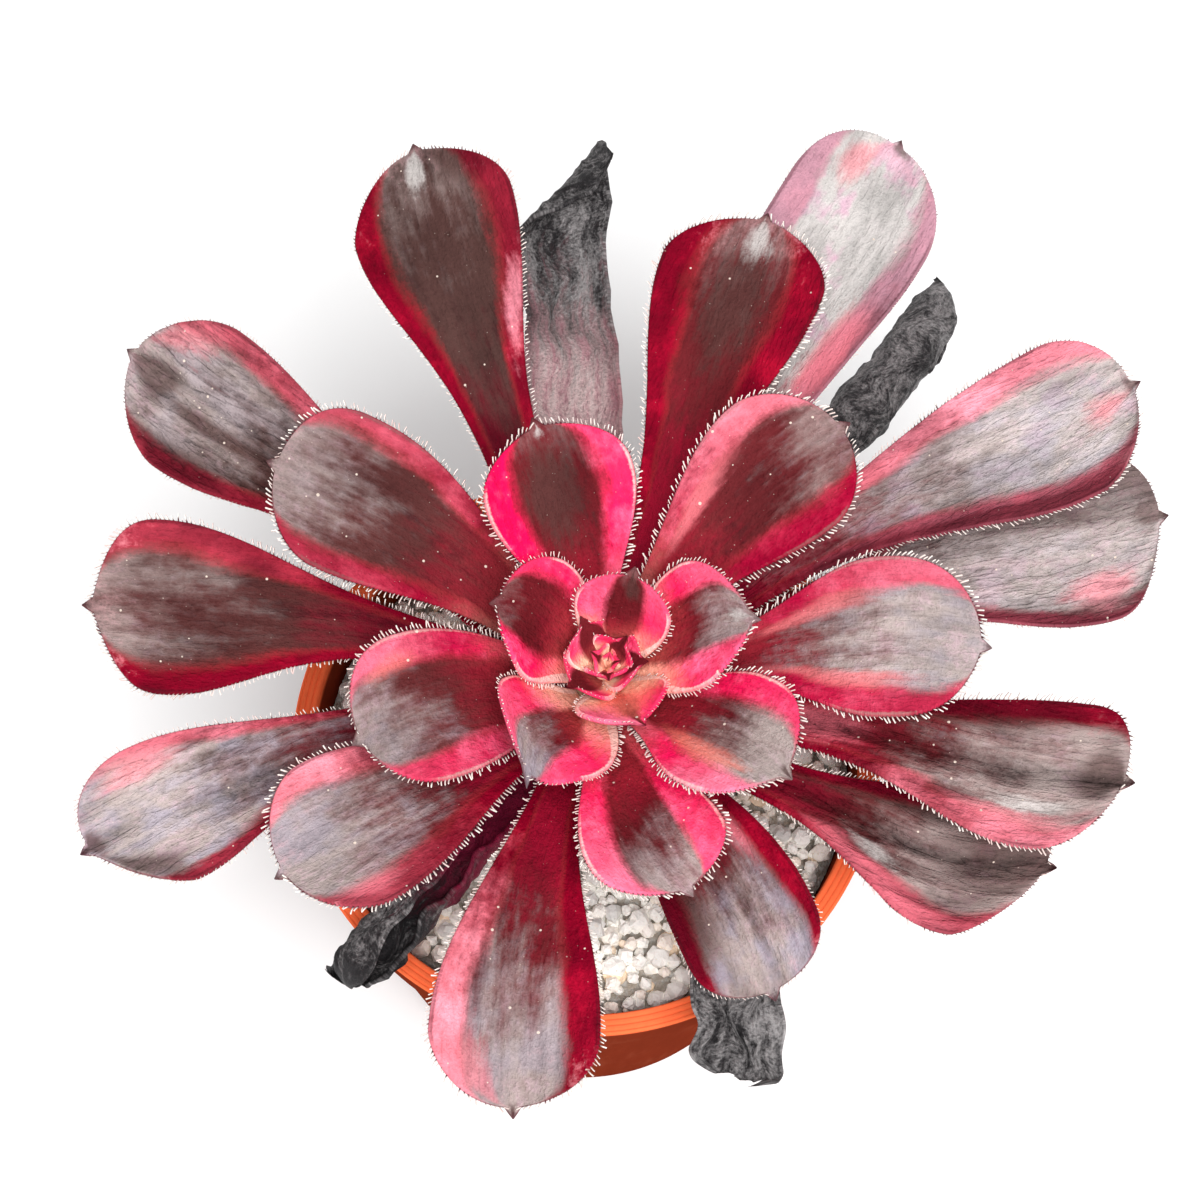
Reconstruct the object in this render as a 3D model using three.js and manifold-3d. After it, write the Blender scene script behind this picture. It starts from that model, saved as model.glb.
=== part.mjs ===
// A potted aeonium: a flat rosette of fleshy, spoon-shaped leaves on a short woody stem, with dried
// leaves below them, in a small round plastic pot of potting mix under a layer of pumice gravel.
// Millimetres, +Z up. The origin is the middle of the pot's base, and -Y is the plant's front.
import * as THREE from "three";
import { ParametricGeometry } from "three/addons/geometries/ParametricGeometry.js";
import { mergeVertices } from "three/addons/utils/BufferGeometryUtils.js";
import Module from "manifold-3d";

const wasm = await Module();
wasm.setup();

// ---- Driving dimensions ----
const POT_HEIGHT = 80;
const RIM_RADIUS = 45; // a 9 cm pot
const BASE_RADIUS = 34.5;
const WALL = 1.4;
const FLOOR = 1.6; // thickness of the pot's base
const LIP_WIDTH = 3.2; // of the flat top of the rim
const LIP_GROOVE = 0.5; // width and depth of the groove that runs round the lip
const COLLAR_HEIGHT = 15; // of the thicker band below the rim
const COLLAR_STEP = 1.2; // how far the band stands out from the body
const POT_SIDES = 48;
const DRAIN_HOLES = 6;
const DRAIN_RADIUS = 4;
const DRAIN_CIRCLE = 22; // radius of the circle that the drain holes stand on

const PUMICE_DEPTH = 8; // from the rim down to the top of the pumice layer's bed
const PUMICE_THICKNESS = 6;
const GRAIN_COUNT = 150;
const GRAIN_RADIUS = [2.7, 3.7];
const GRAIN_WIDTH = [0.8, 0.95]; // how much narrower a grain is than a ball
const GRAIN_FLATNESS = [0.65, 0.85]; // and how much lower
const GRAIN_TILT = 0.5; // in radians, either way
const GRAIN_SCATTER = [-0.5, 0.1]; // how far a grain lies off its even place
const GRAIN_SINK = 0.45; // share of a grain's radius that its middle lies below the bed's top
const GRAIN_CLEARANCE = 3; // from the stem to the middle of the nearest grain

const STEM_RADIUS = 5.5;
const STEM_FOOT = 50; // height of the stem's lower end, in the potting mix
const SHOULDER = 96; // height where the stem starts to round off into the growing tip
const CROWN = 112.5; // height of the growing tip
const CROWN_LEAN = 2.4; // how far the growing tip stands towards +X
const STEM_SIDES = 20;
const DOME_STEPS = 6; // rings from the shoulder to the growing tip

const LEAF_ROOT = 1.5; // how far inside the stem's surface a leaf starts
const MARGIN = 0.8; // thickness of a leaf at its edges
const ABOVE = 0.4; // share of a leaf's thickness that lies above its midrib
const NECK_THICKNESS = 0.7; // thickness at the stem, and at the tip, as a share of the leaf's thickest
const TIP_THICKNESS = 0.4;
const POINT = 1.6; // length of the sharp point that ends a leaf
const POINT_HALF_WIDTH = 1.1;
const POINT_SLOPE = 0.6; // half the width that the point gains for each millimetre of its length
const HOOK_START = 0.7; // share of a leaf's length where its blade starts to bend sideways
const MIDRIB_STEPS = 60;

const CORE_RADIUS = 1.7; // of the growing tip between the tiny leaves
const CORE_STRETCH = 1.3; // how much taller it is than a ball
const CORE_RISE = 1.5; // of its middle above the stem's end
const GAP = 0.3; // between pieces that touch on the real plant

const COLOURS = {
  pot: 0xd9622f,
  mix: 0x3a2c22,
  pumice: 0xd8cfc0,
  stem: 0x6b5440,
  heart: 0xe0506a,
  leaf: 0x8c1f3a,
  dried: 0x2e2a2c,
};

const bedTop = POT_HEIGHT - PUMICE_DEPTH;
const bedBottom = bedTop - PUMICE_THICKNESS;
const RADIANS = Math.PI / 180;
const { lerp, clamp, smoothstep } = THREE.MathUtils;

// ---- Solids and meshes ----

// A closed three.js geometry as a solid that can be cut and joined.
function solidOf(geometry) {
  const bare = geometry.clone();
  bare.deleteAttribute("normal");
  bare.deleteAttribute("uv");
  const merged = mergeVertices(bare, 1e-4);
  const numbers = merged.attributes.position.array;
  const corners = merged.index.array;
  return new wasm.Manifold(
    new wasm.Mesh({
      numProp: 3,
      vertProperties: new Float32Array(numbers),
      triVerts: new Uint32Array(corners),
    }),
  );
}

function geometryOf(solid) {
  const { numProp, numVert, vertProperties, triVerts } = solid.getMesh();
  const position = new Float32Array(numVert * 3);
  for (let i = 0; i < numVert; i++) {
    position.set(vertProperties.subarray(i * numProp, i * numProp + 3), i * 3);
  }
  const geometry = new THREE.BufferGeometry();
  geometry.setAttribute("position", new THREE.BufferAttribute(position, 3));
  geometry.setIndex(new THREE.BufferAttribute(triVerts, 1));
  geometry.computeVertexNormals();
  return geometry;
}

function addPiece(group, name, solid, color, roughness) {
  const material = new THREE.MeshStandardMaterial({ color, roughness, metalness: 0 });
  const mesh = new THREE.Mesh(geometryOf(solid), material);
  mesh.name = name;
  group.add(mesh);
}

// A turned solid from [radius, height] pairs that start and end on the axis, bottom first.
function turned(profile, sides) {
  const points = profile.map(([radius, height]) => new THREE.Vector2(radius, height));
  const geometry = new THREE.LatheGeometry(points, sides);
  geometry.rotateX(Math.PI / 2);
  return solidOf(geometry);
}

// The same draw on every run, by a linear congruential generator.
function drawFrom(seed) {
  const range = 2 ** 32;
  const factor = 1664525;
  const step = 1013904223;
  let state = seed;
  return (low, high) => {
    state = (state * factor + step) % range;
    return lerp(low, high, state / range);
  };
}

// ---- Stem ----

function stemMiddle(height) {
  const rise = Math.max(0, (height - bedTop) / (CROWN - bedTop));
  return new THREE.Vector3(CROWN_LEAN * rise, 0, height);
}

// Even up to the shoulder, then rounded off like a dome.
function stemRadius(height) {
  const dome = clamp((height - SHOULDER) / (CROWN - SHOULDER), 0, 1);
  return STEM_RADIUS * Math.sqrt(1 - dome * dome);
}

// grow makes it larger all round, for the room that other pieces leave it.
function stemSolid(grow = 0) {
  const rings = [STEM_FOOT, STEM_FOOT, bedTop];
  for (let i = 0; i <= DOME_STEPS; i++) {
    rings.push(lerp(SHOULDER, CROWN, Math.sin((i / DOME_STEPS) * (Math.PI / 2))));
  }
  const last = rings.length - 1;
  const surface = (u, v, point) => {
    const k = Math.round(u * last);
    const closing = k === 0 || k === last;
    const radius = closing ? 0 : stemRadius(rings[k]) + grow;
    const turn = -2 * Math.PI * v;
    point.copy(stemMiddle(rings[k]));
    point.x += radius * Math.cos(turn);
    point.y += radius * Math.sin(turn);
    if (k <= 1) point.z -= grow;
    if (k === last) point.z += grow;
  };
  return solidOf(new ParametricGeometry(surface, last, STEM_SIDES));
}

// ---- Leaves ----
// azimuth  where the leaf points, in degrees from +X towards +Y
// foot     height where it leaves the stem
// lift     how steeply it rises on the whole; bend is how much steeper its tip runs than its foot
// swing    how far it turns sideways along its length, in degrees
// hook     how far its point stands to the left of the middle of the blade, in mm
// neck     width at the stem; widest is the share of the length where the blade is widest
// flare    how late the blade widens; blunt is how square its end is
// cup      half the angle that its cross-section curls through, at the neck and in the blade
// twist    how far the blade's end is turned about its length, in degrees
const ANY_LEAF = {
  bend: -32,
  swing: 0,
  hook: 0,
  neck: 6,
  widest: 0.8,
  flare: 2,
  blunt: 2,
  cup: [0.5, 0.3],
  twist: 0,
  thick: 2.4,
  along: 5,
  round: 4,
  across: 4,
};
const INNER_LEAF = { ...ANY_LEAF, bend: -15, flare: 0.8, blunt: 1.7, thick: 2, along: 4 };
const TINY_LEAF = { ...INNER_LEAF, thick: 1.4, neck: 3, widest: 0.55, along: 3, round: 3, across: 2 };

// A kind of leaf as a function that makes one leaf of it.
function leafOf(kind) {
  return (azimuth, foot, length, width, lift, rest) => {
    return { ...kind, azimuth, foot, length, width, lift, ...rest };
  };
}
const outer = leafOf(ANY_LEAF);
const middle = leafOf({ ...ANY_LEAF, bend: -28 });
const inner = leafOf(INNER_LEAF);
const tiny = leafOf(TINY_LEAF);
const dried = leafOf({ ...ANY_LEAF, bend: -20, thick: 1.3, flare: 1 });

const LEAVES = [
  outer(62.5, 92.2, 100.5, 25, 9, { swing: -16, hook: 3.5, flare: 1.1, widest: 0.82, blunt: 2.3 }),
  outer(302, 91.4, 49.5, 19.5, 12, { swing: -15, hook: -1, flare: 0.8, widest: 0.74, blunt: 2.9, twist: 14 }),
  outer(17, 94, 86, 24, 9, { swing: -21, hook: 4, flare: 3, widest: 0.86, blunt: 1.8, twist: 6 }),
  outer(148.5, 93, 86, 23.5, 10, { swing: 12, hook: -3.5, flare: 3.2, widest: 0.83, blunt: 1.7, twist: -11 }),
  outer(334, 95.2, 67, 22.5, 9, { hook: 7, flare: 3.8, widest: 0.86, neck: 5.5, blunt: 1.7, twist: 5 }),
  outer(204.5, 94.9, 75, 22.5, 9, { swing: 30, hook: -2.5, flare: 4.2, widest: 0.83, neck: 7, blunt: 1.7 }),
  outer(112.5, 95.8, 88, 25.5, 13, { hook: -2, flare: 4.1, widest: 0.83, neck: 7, blunt: 1.7, twist: -14 }),
  outer(27.5, 96, 90, 26, 14, { swing: -24, hook: 6, flare: 2.7, widest: 0.86, blunt: 2.1, twist: -12 }),
  outer(263, 96.5, 65.5, 22.5, 17, { swing: 23, flare: 1.9, widest: 0.83, blunt: 2.1, twist: 3 }),
  outer(344, 97.7, 74.5, 22.5, 15, { swing: -15, hook: 6, flare: 3.5, widest: 0.86, neck: 6.5, blunt: 2.5 }),
  outer(178.5, 97.2, 73, 25.5, 15, { swing: 22, hook: -2, flare: 3.6, widest: 0.86, blunt: 1.7, twist: -5 }),
  outer(72.5, 98.6, 74.5, 25, 17, { swing: -4, hook: 0.5, flare: 2.8, widest: 0.84, blunt: 1.7, twist: -14 }),
  outer(218.5, 99.2, 54.5, 24.5, 19, { swing: -5, flare: 1.7, widest: 0.8, blunt: 1.9, twist: 11 }),
  middle(154, 99.8, 57, 23, 24, { swing: 29, hook: -0.5, flare: 1.5, widest: 0.79, blunt: 2.6, twist: -11 }),
  middle(2.5, 100.2, 55, 22.5, 25, { swing: -18, flare: 3, widest: 0.72, blunt: 2.4, twist: 13 }),
  middle(291, 100.6, 38.5, 19.5, 28, { swing: 20, hook: 1, flare: 1.5, widest: 0.75, twist: -4 }),
  middle(46, 102, 51.5, 22, 31, { swing: -21, hook: -1.5, flare: 1.9, widest: 0.78, neck: 7, twist: 13 }),
  middle(206, 102.6, 40.5, 21.5, 31, { swing: 25, hook: 1, flare: 0.8, widest: 0.69, neck: 7, twist: -14 }),
  middle(110.5, 103.6, 39, 22, 37, { swing: 14, flare: 1.8, widest: 0.74, blunt: 1.9, twist: 5 }),
  middle(325.5, 103.6, 37, 19.5, 37, { swing: -5, hook: -1.5, flare: 1.5, widest: 0.65, blunt: 1.7 }),
  inner(229, 105.4, 25.5, 19, 44, { swing: -30, hook: 6.5, widest: 0.61 }),
  inner(160, 106.8, 23, 18, 49, { swing: 30, hook: 2, widest: 0.6, neck: 5 }),
  inner(16, 107.6, 27.5, 18, 47, { swing: -6, hook: -3.5, widest: 0.64 }),
  inner(298, 109.3, 16.5, 12, 57, { swing: 6, hook: 2, neck: 4.5, widest: 0.6 }),
  inner(72, 109.9, 18.5, 13.5, 59, { swing: 3, neck: 4.5, widest: 0.65 }),
];
const DRIED_LEAVES = [
  dried(54, 86.8, 87, 21, 4, { neck: 6, cup: [1, 2.3], across: 8, blunt: 3 }),
  dried(226, 89, 49, 16, -2, { neck: 6, cup: [1, 1.7], across: 6, blunt: 2.6 }),
  dried(292, 89, 52, 13, 0, { neck: 6, bend: -50, widest: 0.86, blunt: 4, cup: [0.9, 0.5] }),
  dried(92, 89.2, 88, 15, 6, { neck: 7, widest: 0.7, flare: 0.8, hook: -4, blunt: 1.6 }),
  dried(132, 91, 32, 9, 8, { neck: 5, cup: [1, 1.4] }),
];
const TINY_LEAVES = [
  tiny(228, 111.4, 8, 7, 56),
  tiny(136, 111.8, 8, 6.5, 62),
  tiny(342, 111.8, 8, 6, 64),
  tiny(45, 112.2, 6, 4, 72),
];

// Half the width of a leaf at s, the share of its length from the stem.
function halfWidth(given, s) {
  const half = given.width / 2;
  const neck = given.neck / 2;
  if (s < given.widest) return lerp(neck, half, smoothstep(s / given.widest, 0, 1) ** given.flare);
  const bladeEnd = 1 - POINT / given.length;
  const over = clamp((s - given.widest) / (bladeEnd - given.widest), 0, 1);
  const point = Math.min((1 - s) * given.length * POINT_SLOPE, POINT_HALF_WIDTH);
  return Math.max(half * Math.sqrt(1 - over ** given.blunt), point);
}

// The shares of the length that carry a cross-section: evenly up to the widest place, then by equal
// turns round the blade's end, and the point.
function stationsOf(given) {
  const bladeEnd = 1 - POINT / given.length;
  const stations = [0];
  for (let i = 0; i < given.along; i++) stations.push((given.widest * i) / given.along);
  for (let i = 0; i <= given.round; i++) {
    stations.push(lerp(given.widest, bladeEnd, Math.sin((i / given.round) * (Math.PI / 2))));
  }
  return [...stations, 0.997, 1];
}

// The midrib as a function of s: its place, and the directions across and up from it.
function midribOf(given) {
  const heading = (s) => (given.azimuth + given.swing * (s - 0.5)) * RADIANS;
  const start = Math.max(0, stemRadius(given.foot) - LEAF_ROOT);
  const at = stemMiddle(given.foot);
  at.x += start * Math.cos(heading(0));
  at.y += start * Math.sin(heading(0));
  const spine = [];
  for (let i = 0; i <= MIDRIB_STEPS; i++) {
    const s = i / MIDRIB_STEPS;
    const turn = heading(s);
    const lift = (given.lift + given.bend * (s - 0.5)) * RADIANS;
    const flat = Math.cos(lift);
    const along = new THREE.Vector3(Math.cos(turn) * flat, Math.sin(turn) * flat, Math.sin(lift));
    const left = new THREE.Vector3(-Math.sin(turn), Math.cos(turn), 0);
    left.applyAxisAngle(along, given.twist * RADIANS * s);
    const up = new THREE.Vector3().crossVectors(along, left);
    const place = at.clone();
    place.addScaledVector(left, given.hook * Math.max(0, (s - HOOK_START) / (1 - HOOK_START)) ** 2);
    spine.push({ place, left, up });
    at.addScaledVector(along, given.length / MIDRIB_STEPS);
  }
  return (s) => {
    const k = Math.min(Math.floor(s * MIDRIB_STEPS), MIDRIB_STEPS - 1);
    const share = s * MIDRIB_STEPS - k;
    return {
      place: spine[k].place.clone().lerp(spine[k + 1].place, share),
      left: spine[k].left.clone().lerp(spine[k + 1].left, share),
      up: spine[k].up.clone().lerp(spine[k + 1].up, share),
    };
  };
}

// Fleshy along the midrib, thinner towards the tip and the margins.
function thicknessAt(given, s, t) {
  const towardsStem = lerp(NECK_THICKNESS, 1, smoothstep(s, 0, 0.4));
  const midrib = given.thick * towardsStem * lerp(1, TIP_THICKNESS, s ** 3);
  return lerp(midrib, Math.min(MARGIN, midrib), t * t);
}

// One closed leaf. Its upper face takes the first half of each ring, from right to left.
function leafSolid(given, grow = 0) {
  const stations = stationsOf(given);
  const midrib = midribOf(given);
  const last = stations.length - 1;
  const ring = 2 * (given.across + 1);
  const surface = (u, v, point) => {
    const k = Math.round(u * last);
    const s = stations[k];
    const closing = k === 0 || k === last;
    const j = Math.round(v * ring) % ring;
    const upper = j <= given.across;
    const t = upper ? (2 * j) / given.across - 1 : 1 - (2 * (j - given.across - 1)) / given.across;
    const half = closing ? 0 : halfWidth(given, s) + grow;
    const curl = lerp(given.cup[0], given.cup[1], smoothstep(s, 0, 0.6));
    const radius = half / curl;
    const thickness = closing ? 0 : thicknessAt(given, s, t) + 2 * grow;
    const inward = radius - (upper ? ABOVE : ABOVE - 1) * thickness;
    const { place, left, up } = midrib(s);
    point.copy(place);
    point.addScaledVector(left, inward * Math.sin(curl * t));
    point.addScaledVector(up, radius - inward * Math.cos(curl * t));
  };
  return solidOf(new ParametricGeometry(surface, last, ring));
}

// ---- Heart ----
// The core of the growing tip and the tiny leaves that close over it, clear of the youngest leaves.
function heartSolid() {
  const core = new THREE.IcosahedronGeometry(CORE_RADIUS, 1);
  core.scale(1, 1, CORE_STRETCH);
  core.translate(CROWN_LEAN, 0, CROWN + CORE_RISE);
  const whole = TINY_LEAVES.reduce((joined, given) => joined.add(leafSolid(given)), solidOf(core));
  const youngest = LEAVES.slice(-2);
  return youngest.reduce((left, given) => left.subtract(leafSolid(given, GAP)), whole);
}

// ---- Pot ----
const bodyRadius = (height) => lerp(BASE_RADIUS, RIM_RADIUS - COLLAR_STEP, height / POT_HEIGHT);
const collarBottom = POT_HEIGHT - COLLAR_HEIGHT;

// The radius of the pot's inside at a height.
function insideRadius(height) {
  const atCollar = bodyRadius(collarBottom) - WALL;
  if (height > collarBottom) {
    return lerp(atCollar, RIM_RADIUS - LIP_WIDTH, (height - collarBottom) / COLLAR_HEIGHT);
  }
  return lerp(BASE_RADIUS - WALL, atCollar, height / collarBottom);
}

function potSolid() {
  const grooveMiddle = RIM_RADIUS - LIP_WIDTH / 2;
  const pot = turned(
    [
      [0, 0],
      [BASE_RADIUS, 0],
      [bodyRadius(collarBottom), collarBottom],
      [bodyRadius(collarBottom) + COLLAR_STEP, collarBottom + COLLAR_STEP],
      [RIM_RADIUS, POT_HEIGHT - LIP_GROOVE],
      [RIM_RADIUS - LIP_GROOVE, POT_HEIGHT],
      [grooveMiddle + LIP_GROOVE, POT_HEIGHT],
      [grooveMiddle, POT_HEIGHT - LIP_GROOVE],
      [grooveMiddle - LIP_GROOVE, POT_HEIGHT],
      [insideRadius(POT_HEIGHT), POT_HEIGHT],
      [insideRadius(collarBottom), collarBottom],
      [insideRadius(FLOOR), FLOOR],
      [0, FLOOR],
    ],
    POT_SIDES,
  );
  let holed = pot;
  for (let i = 0; i < DRAIN_HOLES; i++) {
    const hole = new THREE.CylinderGeometry(DRAIN_RADIUS, DRAIN_RADIUS, 3 * FLOOR, 16);
    hole.rotateX(Math.PI / 2);
    hole.translate(DRAIN_CIRCLE, 0, 0);
    hole.rotateZ((2 * Math.PI * i) / DRAIN_HOLES);
    holed = holed.subtract(solidOf(hole));
  }
  return holed;
}

// ---- What fills the pot ----
// A layer of the filling between two heights, clear of the pot.
function filling(bottom, top) {
  return turned(
    [
      [0, bottom],
      [insideRadius(bottom) - GAP, bottom],
      [insideRadius(top) - GAP, top],
      [0, top],
    ],
    POT_SIDES,
  );
}

// Pumice grains cover the bed, spread as seeds are on a sunflower and nudged by the draw.
function pumiceSolid() {
  const draw = drawFrom(11);
  const goldenTurn = Math.PI * (3 - Math.sqrt(5));
  const nearest = STEM_RADIUS + GRAIN_CLEARANCE;
  const furthest = insideRadius(bedTop) - GRAIN_RADIUS[1] * GRAIN_WIDTH[1];
  let layer = filling(bedBottom, bedTop);
  for (let i = 0; i < GRAIN_COUNT; i++) {
    const share = (i + 0.5) / GRAIN_COUNT;
    const away = Math.sqrt(lerp(nearest ** 2, furthest ** 2, share)) + draw(...GRAIN_SCATTER);
    const radius = draw(...GRAIN_RADIUS);
    const grain = new THREE.IcosahedronGeometry(radius, 0);
    grain.scale(draw(...GRAIN_WIDTH), draw(...GRAIN_WIDTH), draw(...GRAIN_FLATNESS));
    grain.rotateX(draw(-GRAIN_TILT, GRAIN_TILT));
    grain.rotateZ(draw(0, 2 * Math.PI));
    const turn = i * goldenTurn;
    grain.translate(away * Math.cos(turn), away * Math.sin(turn), bedTop - GRAIN_SINK * radius);
    layer = layer.add(solidOf(grain));
  }
  return layer;
}

// ---- The whole ----
const plant = new THREE.Group();
const stemRoom = stemSolid(GAP);

const mix = filling(FLOOR + GAP, bedBottom - GAP);
addPiece(plant, "pot", potSolid(), COLOURS.pot, 0.5);
addPiece(plant, "potting_mix", mix.subtract(stemRoom), COLOURS.mix, 0.95);
addPiece(plant, "pumice_layer", pumiceSolid().subtract(stemRoom), COLOURS.pumice, 0.9);
addPiece(plant, "stem", stemSolid(), COLOURS.stem, 0.85);
addPiece(plant, "heart_bud", heartSolid().subtract(stemRoom), COLOURS.heart, 0.5);
LEAVES.forEach((given, i) => {
  const name = "leaf_" + String(i + 1).padStart(2, "0");
  addPiece(plant, name, leafSolid(given).subtract(stemRoom), COLOURS.leaf, 0.55);
});
DRIED_LEAVES.forEach((given, i) => {
  const name = "dried_leaf_" + (i + 1);
  addPiece(plant, name, leafSolid(given).subtract(stemRoom), COLOURS.dried, 0.8);
});

export default plant;
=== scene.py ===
"""Looks of a potted aeonium: a rosette of velvety, hair-edged leaves in a small pot of pumice gravel.

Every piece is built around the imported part, in metres. The leaves' own numbers are in millimetres
and degrees, as they are measured on a plant.
"""

import math
from dataclasses import dataclass
from functools import partial

import bpy
import numpy as np
from mathutils import Matrix, Vector, noise


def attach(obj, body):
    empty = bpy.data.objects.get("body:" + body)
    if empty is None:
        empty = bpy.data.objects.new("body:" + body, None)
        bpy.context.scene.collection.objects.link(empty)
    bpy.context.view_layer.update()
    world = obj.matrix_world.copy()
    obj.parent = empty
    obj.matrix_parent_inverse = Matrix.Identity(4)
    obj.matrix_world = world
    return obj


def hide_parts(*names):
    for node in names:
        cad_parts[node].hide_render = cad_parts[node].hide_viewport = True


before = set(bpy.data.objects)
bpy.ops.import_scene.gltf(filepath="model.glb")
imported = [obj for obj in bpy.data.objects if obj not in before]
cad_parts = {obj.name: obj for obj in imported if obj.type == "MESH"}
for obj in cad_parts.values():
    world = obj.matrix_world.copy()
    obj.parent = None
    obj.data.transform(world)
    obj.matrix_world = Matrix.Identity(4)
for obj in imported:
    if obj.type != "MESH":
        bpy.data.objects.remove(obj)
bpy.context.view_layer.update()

bl_info = {
    "name": "Potted aeonium",
    "version": (1, 0, 0),
    "blender": (4, 5, 0),
    "location": "3D View > Sidebar > Aeonium",
    "description": "Builds a potted aeonium with hair-edged leaves, dried leaves and pumice gravel",
    "category": "Add Mesh",
}

BODY = "root"
MM = 0.001

# ---- The plant's measures, in millimetres ----
POT_HEIGHT = 80
RIM_RADIUS = 45
BASE_RADIUS = 34.5
BASE_ROUNDING = 1.2
WALL = 1.4
FLOOR = 1.6  # thickness of the pot's base
LIP_WIDTH = 3.2
LIP_RINGS = 3
SHADED_WALL_TOP = (77.5, 79.2)  # heights between which the wall's painted shade gives way to the lip's bright colour
COLLAR_HEIGHT = 15
COLLAR_BOTTOM = POT_HEIGHT - COLLAR_HEIGHT
COLLAR_STEP = 1.2
DRAIN_HOLES = 6
DRAIN_RADIUS = 4
DRAIN_CIRCLE = 22
DRAIN_SIDES = 24
POT_SIDES = 180
BED_TOP = 72
BED_BOTTOM = 66
BED_SIDES = 96
DUST_TOP = BED_TOP - 1.8
GRAIN_LAYERS = ((1.5, 1), (0.7, 0.55), (0, 0.95))  # depth in the bed, and size of the grains there
GRAIN_KINDS = 9
STEM_RADIUS = 5.5
STEM_FOOT = 50
STEM_SIDES = 48
SCAR_ROWS = 2.6  # height of a row of leaf scars
SCARS_ROUND = 5
SCAR_HEIGHT = 0.25
BARK_HEIGHT = 0.2
SHOULDER = 96  # height where the stem starts to round off into the growing tip
CROWN = 112.5
CROWN_LEAN = 2.4
LEAF_ROOT = 1.5  # how far inside the stem's surface a leaf starts
MARGIN = 0.8  # thickness of a leaf at its edges
ABOVE = 0.4  # share of a leaf's thickness that lies above its midrib
NECK_THICKNESS = 0.7  # at the stem, and at the tip, as a share of the leaf's thickest
TIP_THICKNESS = 0.4
POINT = 1.6  # length of the sharp point that ends a leaf
POINT_HALF_WIDTH = 1.1
POINT_SLOPE = 0.6  # half the width that the point gains for each millimetre of its length
HOOK_START = 0.7  # share of the length where a blade starts to bend sideways
MIDRIB_STEPS = 60
COLUMNS, HEART_COLUMNS, DRIED_COLUMNS = 24, 16, 48  # faces across a blade
MATURE_LEAVES = 20  # the leaves after these are young
HAIRY_HEART_LEAVES = 5
HEART_DRAW, DRIED_DRAW = 40, 60  # where the draws of noise for the heart's and the dried leaves start
SKIN_SHIFT = 17.3  # from one leaf's pattern to the next one's
SHORT = 28  # on leaves shorter than this the brown of the point shrinks with the leaf
HAIR_STALK = ((0, 0, -0.15), (0, 0, 0.55), (0.16, 0, 1))  # foot, middle and end of a hair of length 1
GAP = 0.3

# ---- The studio, in metres ----
FLOOR_REACH = 4
KEY_PLACE = (0.25, -0.76, 1.9)
KEY_SIZE = 1.3
KEY_AIM = (0, 0, 0.1)
CAMERA_PLACE = (0.001, -0.131, 0.456)
SENSOR_WIDTH = 36  # in millimetres, as the lens is


def paint(red, green, blue):
    """A colour given as it looks on a screen, from 0 to 255, as the linear one that shaders take."""
    shares = [value / 255 for value in (red, green, blue)]
    linear = [v / 12.92 if v < 0.04 else ((v + 0.055) / 1.055) ** 2.4 for v in shares]
    return (*linear, 1.0)


def ramp(values, low, high):
    """0 below low, 1 above high, and an even, smooth rise between them."""
    share = np.clip((np.asarray(values, float) - low) / (high - low), 0, 1)
    return share * share * (3 - 2 * share)


def between(low, high, share):
    return low + (high - low) * share


def circle(radius, height, count):
    """Points evenly round the pot's axis."""
    turns = np.linspace(0, math.tau, count, endpoint=False)
    return [(radius * math.cos(a), radius * math.sin(a), height) for a in turns]


# ---- Leaves ----


@dataclass
class Fold:
    """A part of a leaf that has rolled over a line on it, up and back over the blade."""

    along: float  # a place on the line, in millimetres from the foot
    across: float
    heading: float  # where the roll moves to, in degrees from the midrib towards the left
    turn: float  # how far it goes round, in degrees
    radius: float = 1.2


@dataclass
class Leaf:
    """One leaf: its form as the solid has it, what time and sun did to its skin, and the light and shade
    painted on it.
    """

    azimuth: float  # where it points, in degrees from +X towards +Y
    foot: float  # height where it leaves the stem
    length: float
    width: float
    lift: float  # how steeply it rises on the whole
    bend: float = -32  # how much steeper its tip runs than its foot
    swing: float = 0  # how far it turns sideways along its length
    hook: float = 0  # how far its point stands to the left of the middle of the blade
    neck: float = 6  # width at the stem
    widest: float = 0.8
    flare: float = 2
    ends: tuple = (2, 2)  # how full the right and the left side of the end are
    shoulders: tuple = (1.5, 1.5)  # 1 draws the end straight to the point, 2 rounds it
    sides: tuple = (1, 1)  # the right and the left side's share of the half width
    spike: float = 1
    cup: tuple = (0.5, 0.3)
    twist: float = 0
    thick: float = 2.4
    stripe: float = 0.62  # share of the half width that the dark stripe takes
    silver: float = 0.5  # how far the grey of the tip reaches down the stripe
    bloom: float = 0.0  # pale, bleached skin all over, on old leaves
    blush: tuple = (0.3, 0.3)  # salmon on the left and the right margin: partly their own blush, partly painted light on the lit side
    pink: float = 0.0  # hot pink margins, on young leaves
    cream: float = 0.0  # pale yellow base, on the youngest leaves
    oval: float = 0.0  # how far the stripe narrows to the foot
    haze: float = 0.0  # bluish grey in the silver
    claret: float = 0.0  # how red the stripe is before it greys
    wrinkle: float = 0.05  # height of the lengthwise wrinkles
    channel: float = 0.0  # depth of a groove along the midrib
    ragged: float = 0.0  # how far the outline of a dried leaf strays, in millimetres
    folds: tuple = ()
    pale: tuple = ()  # bleached patches, and on one leaf a painted highlight, as middle (s, t) and reach (along, across), all shares
    dark: tuple = ()  # dark patches
    warm: tuple = ()  # salmon patches


outer = Leaf
middle = partial(Leaf, bend=-28, pink=0.45, cream=0.25)
inner = partial(Leaf, bend=-15, flare=0.8, ends=(1.7, 1.7), thick=2, cream=0.9, pink=1, oval=0.3)
tiny = partial(inner, thick=0.8, neck=3.4, widest=0.55, wrinkle=0, cup=(0.7, 0.6), stripe=0.5, silver=-0.4,
               oval=0.1, claret=1, blush=(0.3, 0.3), cream=1.4)
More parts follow.
